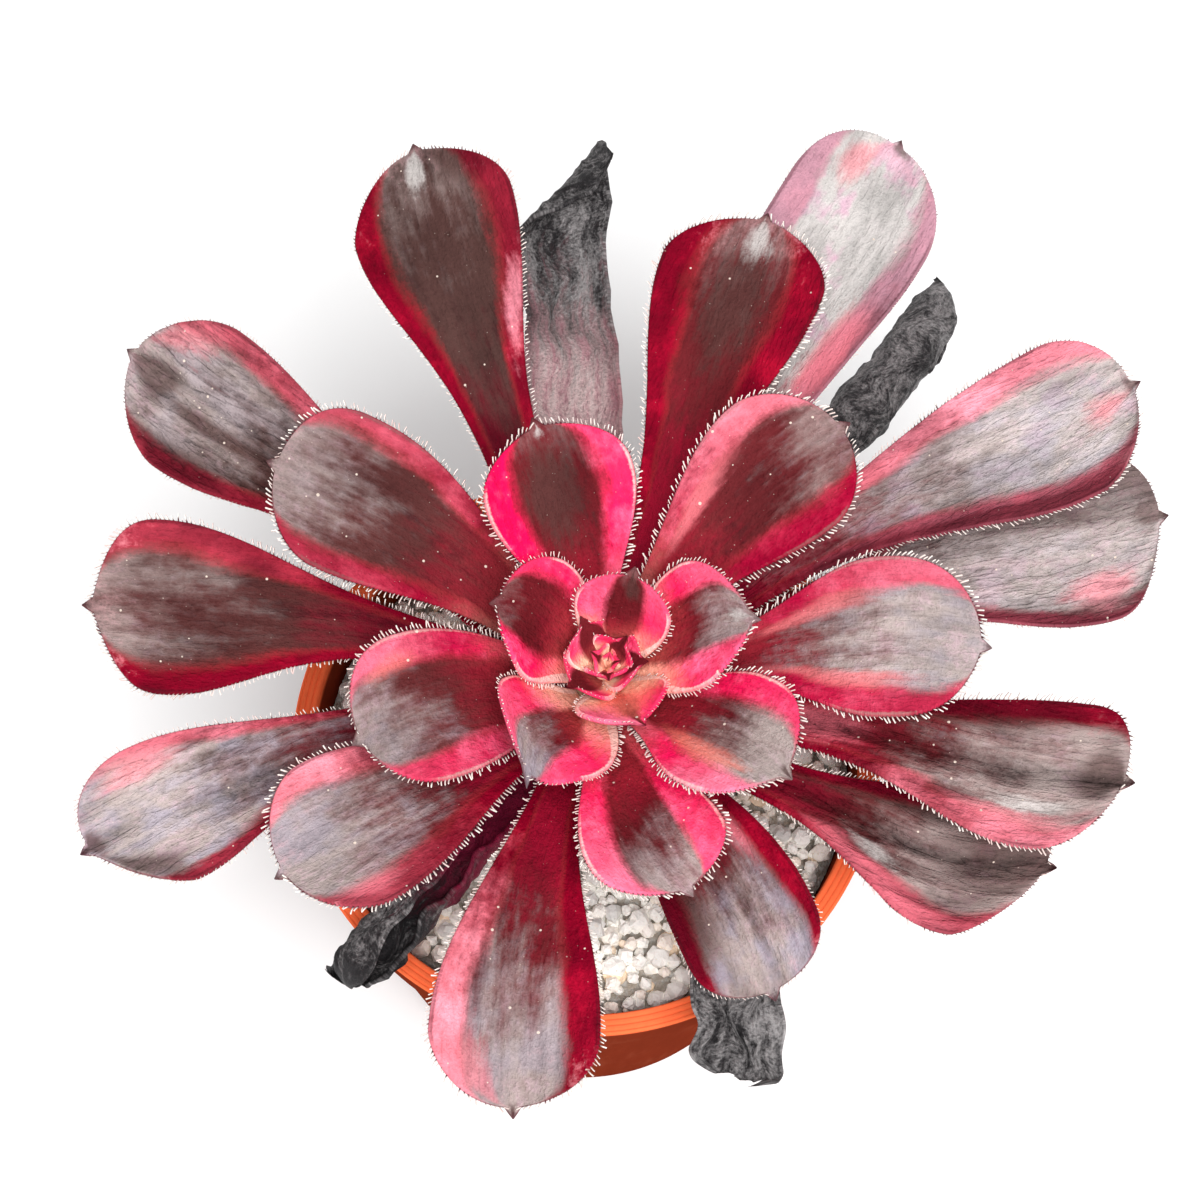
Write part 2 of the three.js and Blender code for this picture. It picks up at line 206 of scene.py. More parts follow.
# On a dried leaf stripe is the share of the length that isn't dead yet, claret how red it is there,
# silver how pale the dead skin is, and wrinkle how deep its creases are.
dried = partial(Leaf, bend=-20, thick=1.3, flare=1, wrinkle=1)

LEAVES = [
    outer(62.5, 92.2, 100.5, 25, 9, swing=-16, hook=3.5, flare=1.1, widest=0.82,
          ends=(2, 2.6), shoulders=(1.8, 1.9), stripe=0.6, silver=1, bloom=1, haze=0.2, blush=(0.2, 0.2),
          wrinkle=0.15, warm=((0.93, 0.4, 0.07, 0.3), (0.6, -0.75, 0.12, 0.3)),
          dark=((0.62, -1, 0.16, 0.45), (0.99, -0.3, 0.02, 0.7))),
    outer(302, 91.4, 49.5, 19.5, 12, swing=-15, hook=-1, flare=0.8, widest=0.76, twist=14,
          ends=(2.9, 3.2), shoulders=(1.9, 1.9), stripe=0.72, silver=0.85, haze=0.7, claret=0.4, blush=(0, 0),
          wrinkle=0.25, dark=((0.66, -0.95, 0.28, 0.55),), warm=((0.5, 0.6, 0.15, 0.2),)),
    outer(17, 94, 86, 24, 9, swing=-21, hook=4, flare=3, widest=0.86, twist=6, sides=(1.12, 1),
          ends=(2.8, 2.2), shoulders=(1.1, 1.8), stripe=0.8, silver=1, bloom=0.25, haze=0.3, blush=(0, 0.2),
          # Its first dark patch, on the left margin near the end, is partly a dark fold and partly painted
          # shadow of the leaf above it.
          wrinkle=0.6, dark=((0.86, 0.85, 0.3, 0.7), (0.98, 0.2, 0.05, 0.6), (0.75, -1, 0.3, 0.25)),
          warm=((0.86, -0.65, 0.08, 0.3),)),
    outer(148.5, 93, 86, 23.5, 10, swing=12, hook=-3.5, flare=3.2, widest=0.83, twist=-11,
          sides=(1.05, 0.97), ends=(1.8, 1.9), shoulders=(1.6, 1.6), stripe=0.72, silver=0.72, haze=0.3,
          blush=(0.1, 0.35), wrinkle=0.7,
          dark=((0.93, 0.1, 0.06, 0.4), (0.8, 0.85, 0.12, 0.3), (0.75, 0.2, 0.2, 0.12)),
          warm=((0.9, -0.8, 0.08, 0.3),)),
    outer(334, 95.2, 67, 22.5, 9, hook=7, flare=3.8, widest=0.86, neck=5.5, twist=5,
          ends=(1.4, 2.5), shoulders=(1.6, 1.4), stripe=0.62, silver=0.8, claret=0.5, blush=(0, 0.3),
          wrinkle=0.6, channel=0.9, dark=((0.95, 0.1, 0.2, 1.1), (0.66, 0.75, 0.3, 0.35)),
          pale=((0.64, -0.45, 0.1, 0.2),), warm=((0.66, -0.85, 0.2, 0.3),)),
    outer(204.5, 94.9, 75, 22.5, 9, swing=30, hook=-2, flare=4.2, widest=0.83, neck=7,
          ends=(2.1, 1.7), shoulders=(2, 1.2), sides=(0.93, 1), stripe=0.78, silver=1, haze=0.6, claret=0.3,
          blush=(0.1, 0.7), wrinkle=0.45, warm=((0.83, -0.75, 0.1, 0.35),),
          dark=((0.98, 0, 0.03, 0.8), (0.9, 0.8, 0.08, 0.3))),
    outer(112.5, 95.8, 88, 25.5, 13, hook=-2, flare=4.1, widest=0.84, neck=7, twist=-14,
          ends=(2, 1.5), shoulders=(1.2, 1.9), sides=(1.02, 0.94), stripe=0.64, silver=0.2, blush=(0, 0.05),
          # Its second pale patch, on the right margin, is a painted highlight.
          wrinkle=0.12, pale=((0.95, 0.05, 0.05, 0.3), (0.66, -0.9, 0.09, 0.2)),
          dark=((0.93, -0.75, 0.06, 0.4),)),
    outer(27.5, 96, 90, 26, 14, swing=-24, hook=6, flare=2.7, widest=0.86, twist=-12, sides=(1.06, 1),
          ends=(1.6, 1.9), shoulders=(1.8, 1.8), stripe=0.58, silver=1, bloom=0.25, haze=0.5, claret=0.4,
          blush=(1, 0.1), wrinkle=0.45, warm=((0.5, 0.75, 0.12, 0.3), (0.93, -0.1, 0.06, 0.3)),
          dark=((0.7, -0.95, 0.35, 0.2), (0.99, 0, 0.02, 0.8))),
    outer(263, 96.5, 65.5, 22.5, 17, swing=23, flare=1.9, widest=0.82, twist=3,
          ends=(1.7, 2.6), shoulders=(1.9, 1.9), stripe=0.56, silver=0.78, haze=0.4, claret=0.9, blush=(0, 1),
          wrinkle=0.12, warm=((0.9, -0.6, 0.1, 0.3),), dark=((0.99, 0, 0.02, 0.5),)),
    outer(344, 97.7, 74.5, 22.5, 15, swing=-15, hook=6, flare=3.5, widest=0.86, neck=6.5,
          ends=(2.4, 3), shoulders=(1.7, 1.6), stripe=0.66, silver=0.72, claret=0.8, blush=(0, 0.6),
          wrinkle=0.45, channel=0.7, dark=((0.68, 0.9, 0.28, 0.35), (0.95, 0.1, 0.06, 0.6)),
          pale=((0.84, -0.45, 0.1, 0.15),),
          warm=((0.8, -0.65, 0.15, 0.15), (0.4, 0, 0.12, 0.9))),
    outer(178.5, 97.2, 73, 25.5, 15, swing=22, hook=-2, flare=3.6, widest=0.84, twist=-5,
          ends=(2.8, 2.8), shoulders=(1.15, 1.2), stripe=0.66, silver=0.36, claret=0.3, blush=(0, 0.1),
          wrinkle=0.12),
    outer(72.5, 98.6, 74.5, 25, 17, swing=-4, hook=0.5, flare=2.8, widest=0.84, twist=-14,
          ends=(1.8, 2), shoulders=(1.4, 1.5), sides=(1.03, 1), stripe=0.56, silver=0.15, claret=0.9,
          blush=(0, 0), wrinkle=0.1, pale=((0.94, -0.05, 0.06, 0.3),), dark=((0.78, 0, 0.16, 0.4),)),
    outer(218.5, 99.2, 54.5, 24.5, 19, swing=-5, flare=1.7, widest=0.79, twist=11,
          ends=(1.8, 1.9), shoulders=(1.9, 1.9), stripe=0.62, silver=0.85, haze=0.5, claret=0.6,
          blush=(0.2, 0.9), wrinkle=0.1, warm=((0.82, 0.75, 0.1, 0.2),)),
    middle(154, 99.8, 57, 23, 24, swing=29, hook=-0.5, flare=1.5, widest=0.78, twist=-11,
           ends=(3, 2.2), shoulders=(1.8, 1.8), stripe=0.72, silver=0.5, haze=0.2, claret=0.3,
           blush=(0.1, 0.3), pink=0.1),
    middle(2.5, 100.2, 56, 22.5, 25, swing=-18, hook=-1.2, flare=3, widest=0.72, twist=13,
           ends=(3, 2.8), shoulders=(1.5, 1.8), stripe=0.6, silver=1, haze=0.4, claret=0.7, blush=(0.4, 0.1),
           pink=0.3, warm=((0.55, 0.55, 0.2, 0.2), (0.6, -0.55, 0.25, 0.2)), wrinkle=0.15),
    middle(291, 100.6, 38.5, 19.5, 28, swing=20, hook=1, flare=1.5, widest=0.74, twist=-4,
           ends=(2.4, 2.1), shoulders=(1.6, 1.5), stripe=0.5, silver=0.66, haze=0.2, claret=1,
           blush=(0.3, 0.9), pink=1),
    middle(46, 102, 51.5, 22, 31, swing=-21, hook=-1.5, flare=1.9, widest=0.78, neck=7, twist=13,
           ends=(1.8, 1.8), shoulders=(1.9, 1.9), sides=(1.03, 0.98), stripe=0.62, silver=0.36,
           claret=0.8, blush=(0.9, 0), pink=0.15, warm=((0.55, 0.6, 0.2, 0.2),)),
    middle(206, 102.6, 40.5, 21.5, 31, swing=25, hook=1, flare=0.8, widest=0.68, neck=7, twist=-14,
           ends=(2.8, 2.4), shoulders=(1.8, 1.9), stripe=0.62, silver=0.65, haze=0.5, claret=0.6,
           blush=(0.2, 0.8), pink=0.5, warm=((0.75, -0.7, 0.15, 0.2),)),
    middle(110.5, 103.6, 39, 22, 37, swing=14, flare=1.8, widest=0.73, twist=5,
           ends=(2.3, 2.3), shoulders=(1.4, 1.6), stripe=0.58, silver=0.1, claret=1, blush=(0, 0.15),
           pink=0.9, pale=((0.95, 0, 0.04, 0.3),), dark=((0.72, 0.1, 0.25, 0.4),)),
    middle(325.5, 103.6, 37, 19.5, 37, swing=-5, hook=-1.5, flare=1.5, widest=0.64,
           ends=(2.6, 2.9), shoulders=(1.1, 1.4), stripe=0.56, silver=0.9, claret=0.8, blush=(0.2, 1),
           pink=0.9, warm=((0.6, -0.45, 0.3, 0.2),), dark=((0.97, 0.1, 0.04, 0.5),)),
    inner(229, 105.4, 25.5, 19, 44, swing=-30, hook=6.5, widest=0.58,
          ends=(2.4, 2.4), shoulders=(1.7, 1.5), stripe=0.4, silver=0.85, haze=0.6, claret=1,
          blush=(0.3, 0.6)),
    inner(160, 106.8, 23, 18, 49, swing=30, hook=2, widest=0.58, neck=5,
          ends=(1.7, 1.9), shoulders=(1.9, 1.5), stripe=0.6, silver=0.3, claret=1, blush=(0, 0.2),
          cream=0.5),
    inner(16, 107.6, 27.5, 18, 47, swing=-6, hook=-3.5, widest=0.62,
          ends=(1.7, 1.9), shoulders=(1.4, 1.6), stripe=0.52, silver=0.7, haze=0.2, claret=1,
          blush=(0.7, 0.3), pale=((0.9, 0, 0.1, 0.35),)),
    inner(293, 109.3, 16, 13.5, 47, hook=1, neck=4.5, widest=0.56, cup=(0.5, 0.5),
          ends=(1.6, 1.6), shoulders=(1.4, 1.5), stripe=0.24, silver=-0.4, claret=1, blush=(0.2, 0.9),
          cream=1.6, warm=((0.55, 0.1, 0.4, 1),)),
    inner(72, 109.9, 18.5, 13.5, 59, swing=3, neck=4.5, widest=0.6,
          ends=(2.1, 1.9), shoulders=(1.7, 1.7), stripe=0.44, silver=0.1, claret=1, blush=(0.5, 0.5),
          cream=1, dark=((0.85, -0.1, 0.14, 0.3),)),
]
DRIED_LEAVES = [
    dried(55.9, 86.8, 89, 22.4, 4, neck=6, cup=(1, 3), twist=120, ends=(5, 3), shoulders=(2, 2), spike=0.3,
          stripe=0.1, wrinkle=0.7, ragged=2.4),
    dried(227, 89, 50, 17, -2, neck=6, cup=(0.8, 2.7), twist=-70, ends=(4, 4), shoulders=(2, 2), spike=0,
          stripe=0.6, silver=0.1, wrinkle=0.9, claret=1, ragged=3),
    dried(292, 89, 56.3, 11.8, 0, swing=-40, neck=5, bend=-50, widest=0.9, ends=(6, 9), shoulders=(2, 2.2),
          cup=(0.9, 0.2), spike=0, stripe=0.1, wrinkle=1.1, ragged=2.2),
    dried(96.5, 89.2, 94, 13.6, 6, hook=-2, neck=10, widest=0.45, ends=(14, 5), shoulders=(2, 2), spike=0,
          stripe=0.62, cup=(0.6, 0.3), wrinkle=0.6, ragged=1.6, folds=(Fold(72.9, 6.5, 48, 168, 1.4),)),
    dried(132, 91, 32, 9, 8, neck=5, cup=(1, 2.4), stripe=0.05),
]
HEART_LEAVES = [
    tiny(223, 111.2, 9.4, 9.6, 44, ends=(2, 2)),
    tiny(126, 111.6, 9.6, 9.6, 47, ends=(2, 2)),
    tiny(352, 111.8, 9, 8.8, 50, ends=(2, 2)),
    tiny(49, 112.2, 7.2, 7.4, 55, stripe=0.45, ends=(2, 2)),
    tiny(276, 112.3, 6.6, 6.4, 56, stripe=0.3, cream=1.8),
    tiny(165, 112.8, 5.4, 5, 62, stripe=0.3, cream=2.2),
    tiny(350, 112.9, 4.6, 4.4, 66, stripe=0.3, cream=2.2),
    tiny(75, 113.1, 3.8, 3.6, 72, stripe=0.1, cream=2.6),
]


def stem_middle(height):
    rise = max(0, (height - BED_TOP) / (CROWN - BED_TOP))
    return np.array([CROWN_LEAN * rise, 0, height])


def stem_radius(height):
    dome = np.clip((height - SHOULDER) / (CROWN - SHOULDER), 0, 1)
    return STEM_RADIUS * np.sqrt(1 - dome * dome)


def midrib_of(leaf):
    """Places along the midrib with the directions left and up there, one row for each step."""
    s = np.linspace(0, 1, MIDRIB_STEPS + 1)
    turn = np.radians(leaf.azimuth + leaf.swing * (s - 0.5))
    lift = np.radians(leaf.lift + leaf.bend * (s - 0.5))
    twist = np.radians(leaf.twist * s)[:, None]
    along = np.stack([np.cos(turn) * np.cos(lift), np.sin(turn) * np.cos(lift), np.sin(lift)], 1)
    level = np.stack([-np.sin(turn), np.cos(turn), 0 * turn], 1)
    left = level * np.cos(twist) + np.cross(along, level) * np.sin(twist)
    up = np.cross(along, left)
    out = max(0, stem_radius(leaf.foot) - LEAF_ROOT)
    start = stem_middle(leaf.foot) + out * np.array([math.cos(turn[0]), math.sin(turn[0]), 0])
    steps = np.cumsum(along[:-1] * leaf.length / MIDRIB_STEPS, axis=0)
    place = start + np.vstack([np.zeros(3), steps])
    place += left * (leaf.hook * np.clip((s - HOOK_START) / (1 - HOOK_START), 0, 1) ** 2)[:, None]
    return s, place, left, up


def at_shares(shares, s, rows):
    return np.stack([np.interp(shares, s, rows[:, k]) for k in range(3)], 1)


def end_of_blade(leaf):
    """The share of the length where the blade ends and its point begins."""
    return 1 - max(POINT * min(leaf.spike, 1), 0.05) / leaf.length


def half_width(leaf, s, side=None):
    """Half the width of a leaf at the shares s of its length, its point drawn out smoothly.

    side is 0 for the right and 1 for the left. Without it the mean of both is given.
    """
    if side is None:
        return (half_width(leaf, s, 0) + half_width(leaf, s, 1)) / 2
    half, neck = leaf.width / 2 * leaf.sides[side], leaf.neck / 2
    growing = between(neck, half, ramp(s / leaf.widest, 0, 1) ** leaf.flare)
    blade_end = end_of_blade(leaf)
    over = np.clip((s - leaf.widest) / (blade_end - leaf.widest), 0, 1)
    rounding = half * np.clip(1 - over ** leaf.ends[side], 0, 1) ** (1 / leaf.shoulders[side])
    point = np.minimum((1 - s) * leaf.length * POINT_SLOPE, POINT_HALF_WIDTH) * leaf.spike
    return np.where(s < leaf.widest, growing, np.minimum(np.hypot(rounding, point), half))


def stations_of(leaf, body=56, end=26, tip=7):
    """Shares of the length that carry a cross-section, close together round the blade's end."""
    blade_end = end_of_blade(leaf)
    first = np.linspace(0, leaf.widest, body, endpoint=False)
    turn = np.linspace(0, math.pi / 2, end)
    second = between(leaf.widest, blade_end, np.sin(turn))
    last = np.linspace(blade_end, between(blade_end, 1, 0.98), tip)[1:]
    return np.concatenate([first, second, last])


def thickness_of(leaf, s, t):
    towards_stem = between(NECK_THICKNESS, 1, ramp(s, 0, 0.4))
    middle_of_it = leaf.thick * towards_stem * between(1, TIP_THICKNESS, s**3)
    at_edge = np.minimum(MARGIN, middle_of_it)
    to_point = np.sqrt(np.clip((1 - s) * leaf.length / 3, 0.02, 1))
    return between(middle_of_it, at_edge, np.minimum(t * t, 1)) * to_point


def ring_of(across):
    """One cross-section as columns: place across, height in the thickness, and 1 on the upper face."""
    top = np.linspace(-1, 1, across + 1)
    turns = np.radians([45, 90, 135])
    edge = np.cos(turns) / 2 + 0.5 - (1 - ABOVE)
    rings = [(t, ABOVE, 1.0, 0.0) for t in top]
    rings += [(1.0, h, 0.5, math.sin(a)) for h, a in zip(edge, turns)]
    rings += [(t, ABOVE - 1, 0.0, 0.0) for t in -top]
    rings += [(-1.0, h, 0.5, math.sin(a)) for h, a in zip(edge[::-1], turns)]
    return np.array(rings)


def folded(fold, along, across, height):
    """Moves the points beyond the fold's line round it."""
    heading = math.radians(fold.heading)
    ahead = np.array([math.cos(heading), math.sin(heading)])
    beyond = (along - fold.along) * ahead[0] + (across - fold.across) * ahead[1]
    turn = np.clip(beyond / fold.radius, 0, math.radians(fold.turn))
    rest = beyond - fold.radius * turn
    moved = np.sin(turn) * (fold.radius - height) + rest * np.cos(turn)
    raised = fold.radius * (1 - np.cos(turn)) + rest * np.sin(turn) + height * np.cos(turn)
    flat = beyond <= 0
    moved = np.where(flat, beyond, moved)
    raised = np.where(flat, height, raised)
    return along + (moved - beyond) * ahead[0], across + (moved - beyond) * ahead[1], raised


def laid(leaf, along, across, height):
    """Points in space for places on a leaf: millimetres along it, across it and above its middle."""
    steps, place, left, up = midrib_of(leaf)
    s = np.clip(along / leaf.length, 0, 1)
    shares, shape = s.ravel(), (*s.shape, 3)
    place, left, up = (at_shares(shares, steps, rows).reshape(shape) for rows in (place, left, up))
    curl = between(leaf.cup[0], leaf.cup[1], ramp(s, 0, 0.6))
    radius = np.maximum(half_width(leaf, s), 0.4) / curl
    inward = radius - height
    angle = across / radius
    points = place + left * (inward * np.sin(angle))[..., None]
    return points + up * (radius - inward * np.cos(angle))[..., None]


def blade(leaf, across=COLUMNS, s=None, columns=None, stand=None):
    """A leaf's surface: points (stations, ring, 3) in millimetres, and what its skin needs there.

    stand(grid) gives how far the skin stands off the plain form.
    """
    s = stations_of(leaf) if s is None else s
    columns = ring_of(across) if columns is None else columns
    t, height, upper, bulge = (np.broadcast_to(row, (len(s), len(columns))) for row in columns.T)
    s = np.broadcast_to(s[:, None], t.shape)
    half = np.maximum(np.where(t < 0, half_width(leaf, s, 0), half_width(leaf, s, 1)), 0.05)
    thick = thickness_of(leaf, s, t)
    along = s * leaf.length
    grid = {"s": s, "t": t, "half": half, "upper": upper, "along": along, "across": half * t}
    skin = height * thick
    if stand is not None:
        skin = skin + stand(grid)
    sideways = half * t + np.sign(t) * bulge * 0.4 * thick
    if leaf.ragged:
        sideways = sideways + leaf.ragged * waves(along, t * 8, leaf.azimuth, 1, 5)
        stray = waves(0 * along, sideways, leaf.azimuth + 9, 1, 3.5)
        along = along + leaf.ragged * stray * ramp(s, 0.8, 1)
    for fold in leaf.folds:
        along, sideways, skin = folded(fold, along, sideways, skin)
    return laid(leaf, along, sideways, skin), grid


def waves(along, across, seed, stretch, size):
    """Noise from -1 to 1 on a blade, stretched along it."""
    long, wide = along.ravel() / (size * stretch), across.ravel() / size
    found = [noise.noise(Vector((a, b, seed))) for a, b in zip(long, wide)]
    return np.array(found).reshape(along.shape)


def relief(leaf, grid, seed):
    """How far a living leaf's skin stands off its plain form, from wrinkles and the midrib's groove."""
    along, across = grid["along"], grid["across"]
    on_blade = ramp(grid["s"], 0.2, 0.5) * (1 - 0.5 * np.abs(grid["t"]) ** 4)
    folds = -np.abs(waves(along, across, seed, 8, 2.6)) * 2 + 0.5
    folds = folds + 0.6 * waves(along, across, seed + 5, 5, 1.1)
    swell = waves(along, across, seed + 9, 1.5, 7)
    groove = np.exp(-((across / 1.5) ** 2)) * leaf.channel
    return (folds * leaf.wrinkle + swell * 0.012 * leaf.width - groove) * on_blade


def closed_grid(points):
    """Corners and faces of a tube of rings that is closed by a fan at its foot and by its tip."""
    rows, ring = points.shape[:2]
    corners = np.vstack([points.reshape(-1, 3), points[0].mean(0), points[-1].mean(0)])
    faces = []
    for k in range(rows - 1):
        for j in range(ring):
            i = (j + 1) % ring
            faces.append((k * ring + j, (k + 1) * ring + j, (k + 1) * ring + i, k * ring + i))
    foot, tip = rows * ring, rows * ring + 1
    last = (rows - 1) * ring
    for j in range(ring):
        i = (j + 1) % ring
        faces.append((foot, j, i))
        faces.append((tip, last + i, last + j))
    return corners, faces


def capped(values):
    """A grid of values with the two that belong to the closing corners."""
    flat = values.reshape(-1, *values.shape[2:])
    return np.concatenate([flat, values[:1].mean(1), values[-1:].mean(1)])


def placed(name, data):
    """A new object in the scene."""
    piece = bpy.data.objects.new(name, data)
    bpy.context.scene.collection.objects.link(piece)
    return piece


def new_piece(name, corners, faces, finish=None, edges=(), smooth=True):
    """A mesh object from corners in millimetres."""
    mesh = bpy.data.meshes.new(name)
    mesh.from_pydata((np.asarray(corners) * MM).tolist(), edges, faces)
    mesh.polygons.foreach_set("use_smooth", [smooth] * len(mesh.polygons))
    mesh.update()
    if finish is not None:
        mesh.materials.append(finish)
    return placed(name, mesh)


def give(piece, name, values):
    """Stores three numbers for each corner of a piece."""
    attribute = piece.data.attributes.new(name, "FLOAT_VECTOR", "POINT")
    attribute.data.foreach_set("vector", np.asarray(values, np.float32).ravel())


def give_grids(piece, name, *grids):
    """Stores three numbers for each corner of a closed grid. Each is a grid, or the same all over."""
    give(piece, name, capped(np.stack(np.broadcast_arrays(*grids), -1)))


def settle(piece, slot, *nodes):
    """The piece rides on the part's one body and stands for the given nodes."""
    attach(piece, BODY)
    if nodes:
        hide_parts(*nodes)


def patches(places, grid):
    """0 to 1 on a leaf, 1 in the middle of each soft-edged patch."""
    total = np.zeros_like(grid["s"])
    for s, t, long, wide in places:
        away = ((grid["s"] - s) / long) ** 2 + ((grid["t"] - t) / wide) ** 2
        total = np.maximum(total, np.exp(-away))
    return total


def dress(piece, leaf, grid, seed):
    """Gives a leaf what its skin reads: its own coordinates and the tones of that leaf."""
    s, t = grid["s"], grid["t"]
    share = np.clip(grid["half"] / (leaf.width / 2), 0.02, 1)
    reach = np.abs(t) * share ** between(0.12, 0.5, ramp(s, 0.6, 0.95))
    reach = reach + leaf.oval * (1 - ramp(s, 0.15, 0.55))
    # Painted light, with the margins' own blush: the salmon of each side, more on the side that faces the key
    # light.
    blush = between(leaf.blush[1], leaf.blush[0], ramp(t, -0.5, 0.5))
    marks = (patches(places, grid) for places in (leaf.pale, leaf.dark, leaf.warm))
    give_grids(piece, "leaf_place", s, reach, grid["upper"])
    give_grids(piece, "leaf_blade", grid["along"], grid["across"], seed * SKIN_SHIFT)
    give_grids(piece, "leaf_tones", np.full_like(s, leaf.stripe), leaf.silver, leaf.bloom)
    give_grids(piece, "leaf_blush", blush, leaf.pink, leaf.cream)
    give_grids(piece, "leaf_hues", leaf.haze, leaf.claret, (1 - s) * max(leaf.length, SHORT))
    give_grids(piece, "leaf_marks", *marks)


def living_leaf(name, leaf, seed, finish, across=COLUMNS):
    points, grid = blade(leaf, across, stand=lambda grid: relief(leaf, grid, seed))
    piece = new_piece(name, *closed_grid(points), finish)
    dress(piece, leaf, grid, seed)
    # The relief's height, which the skin's shader turns into painted light and shade.
    rise = relief(leaf, grid, seed) / max(leaf.wrinkle, 0.3)
    give_grids(piece, "leaf_rise", rise, leaf.wrinkle, 0)
    return piece


def join(name, pieces):
    """Several pieces as one object."""
    with bpy.context.temp_override(active_object=pieces[0], selected_editable_objects=pieces):
        bpy.ops.object.join()
    pieces[0].name = name
    pieces[0].data.name = name
    return pieces[0]


# ---- Shaders ----


class Wire:
    """An output socket. Sums on it add Math nodes."""

    def __init__(self, net, socket):
        self.net = net
        self.socket = socket

    def math(self, operation, *values):
        return self.net.add("ShaderNodeMath", dict(enumerate(values)), operation=operation)

    def __add__(self, other):
        return self.math("ADD", self, other)

    __radd__ = __add__

    def __sub__(self, other):
        return self.math("SUBTRACT", self, other)

    def __rsub__(self, other):
        return self.math("SUBTRACT", other, self)

    def __mul__(self, other):
        return self.math("MULTIPLY", self, other)

    __rmul__ = __mul__

    def __truediv__(self, other):
        return self.math("DIVIDE", self, other)

    def __abs__(self):
        return self.math("ABSOLUTE", self)

    def rise(self, low, high):
        """0 below low, 1 above high, smooth between them."""
        inputs = {"Value": self, "From Min": low, "From Max": high}
        return self.net.add("ShaderNodeMapRange", inputs, interpolation_type="SMOOTHSTEP")

    def parts(self):
        """The three numbers of a vector."""
        split = self.net.add("ShaderNodeSeparateXYZ", {0: self}).socket.node
        return [Wire(self.net, split.outputs[k]) for k in range(3)]


class Net:
    """Adds nodes to a node tree."""

    def __init__(self, tree):
        self.tree = tree

    def add(self, kind, inputs=None, output=0, **settings):
        node = self.tree.nodes.new(kind)
        for name, value in settings.items():
            setattr(node, name, value)
        for key, value in (inputs or {}).items():
            if isinstance(value, Wire):
                self.tree.links.new(value.socket, node.inputs[key])
            else:
                node.inputs[key].default_value = value
        return Wire(self, node.outputs[output])

    def vector(self, operation, *values, output=0):
        return self.add("ShaderNodeVectorMath", dict(enumerate(values)), output, operation=operation)

    def scaled(self, vector, factor):
        """A vector or a colour times a number."""
        return self.add("ShaderNodeVectorMath", {0: vector, "Scale": factor}, operation="SCALE")


class Finish(Net):
    """A material under construction."""

    def __init__(self, name, **constants):
        self.material = bpy.data.materials.new(name)
        self.material.use_nodes = True
        super().__init__(self.material.node_tree)
        self.shader = self.tree.nodes["Principled BSDF"]
        for key, value in constants.items():
            self.shader.inputs[key.replace("_", " ")].default_value = value

    def feed(self, socket, wire):
        self.tree.links.new(wire.socket, self.shader.inputs[socket])

    def attribute(self, name):
        return self.add("ShaderNodeAttribute", output="Vector", attribute_name=name)

    def place(self):
        return self.add("ShaderNodeTexCoord", output="Object")

    def cloud(self, vector, scale, detail=2, roughness=0.5):
        """Noise round 0, mostly from -0.3 to 0.3."""
        inputs = {"Vector": vector, "Scale": scale, "Detail": detail, "Roughness": roughness}
        return self.add("ShaderNodeTexNoise", inputs) - 0.5

    def streaks(self, vector, stretch, detail=2, roughness=0.5, scale=1):
        """Such noise, its scale multiplied along each axis by the numbers of stretch."""
        vector = self.add("ShaderNodeMapping", {"Vector": vector, "Scale": stretch})
        return self.cloud(vector, scale, detail, roughness)

    def mix(self, factor, first, second):
        return self.add("ShaderNodeMix", {0: factor, 6: first, 7: second}, output=2, data_type="RGBA")

    def specks(self, vector, scale, size):
        """1 in small round specks, no two alike in size, and 0 between them."""
        found = self.add("ShaderNodeTexVoronoi", {"Vector": vector, "Scale": scale}, output="Distance")
        chance = Wire(self, found.socket.node.outputs["Color"]).parts()[0]
        return 1 - found.rise(chance * size, chance * size + 0.03)

    def lines(self, vector, stretch, width):
        """1 along fine wandering lines and 0 away from them."""
        return 1 - abs(self.streaks(vector, stretch)).rise(0, width)

    def done(self, colour, height, depth, roughness=None):
        """The material, with its colour and with relief of the given depth in millimetres."""
        self.feed("Base Color", colour)
        if roughness is not None:
            self.feed("Roughness", roughness)
        inputs = {"Height": height, "Strength": 1.0, "Distance": depth * MM}
        self.feed("Normal", self.add("ShaderNodeBump", inputs))
        return self.material


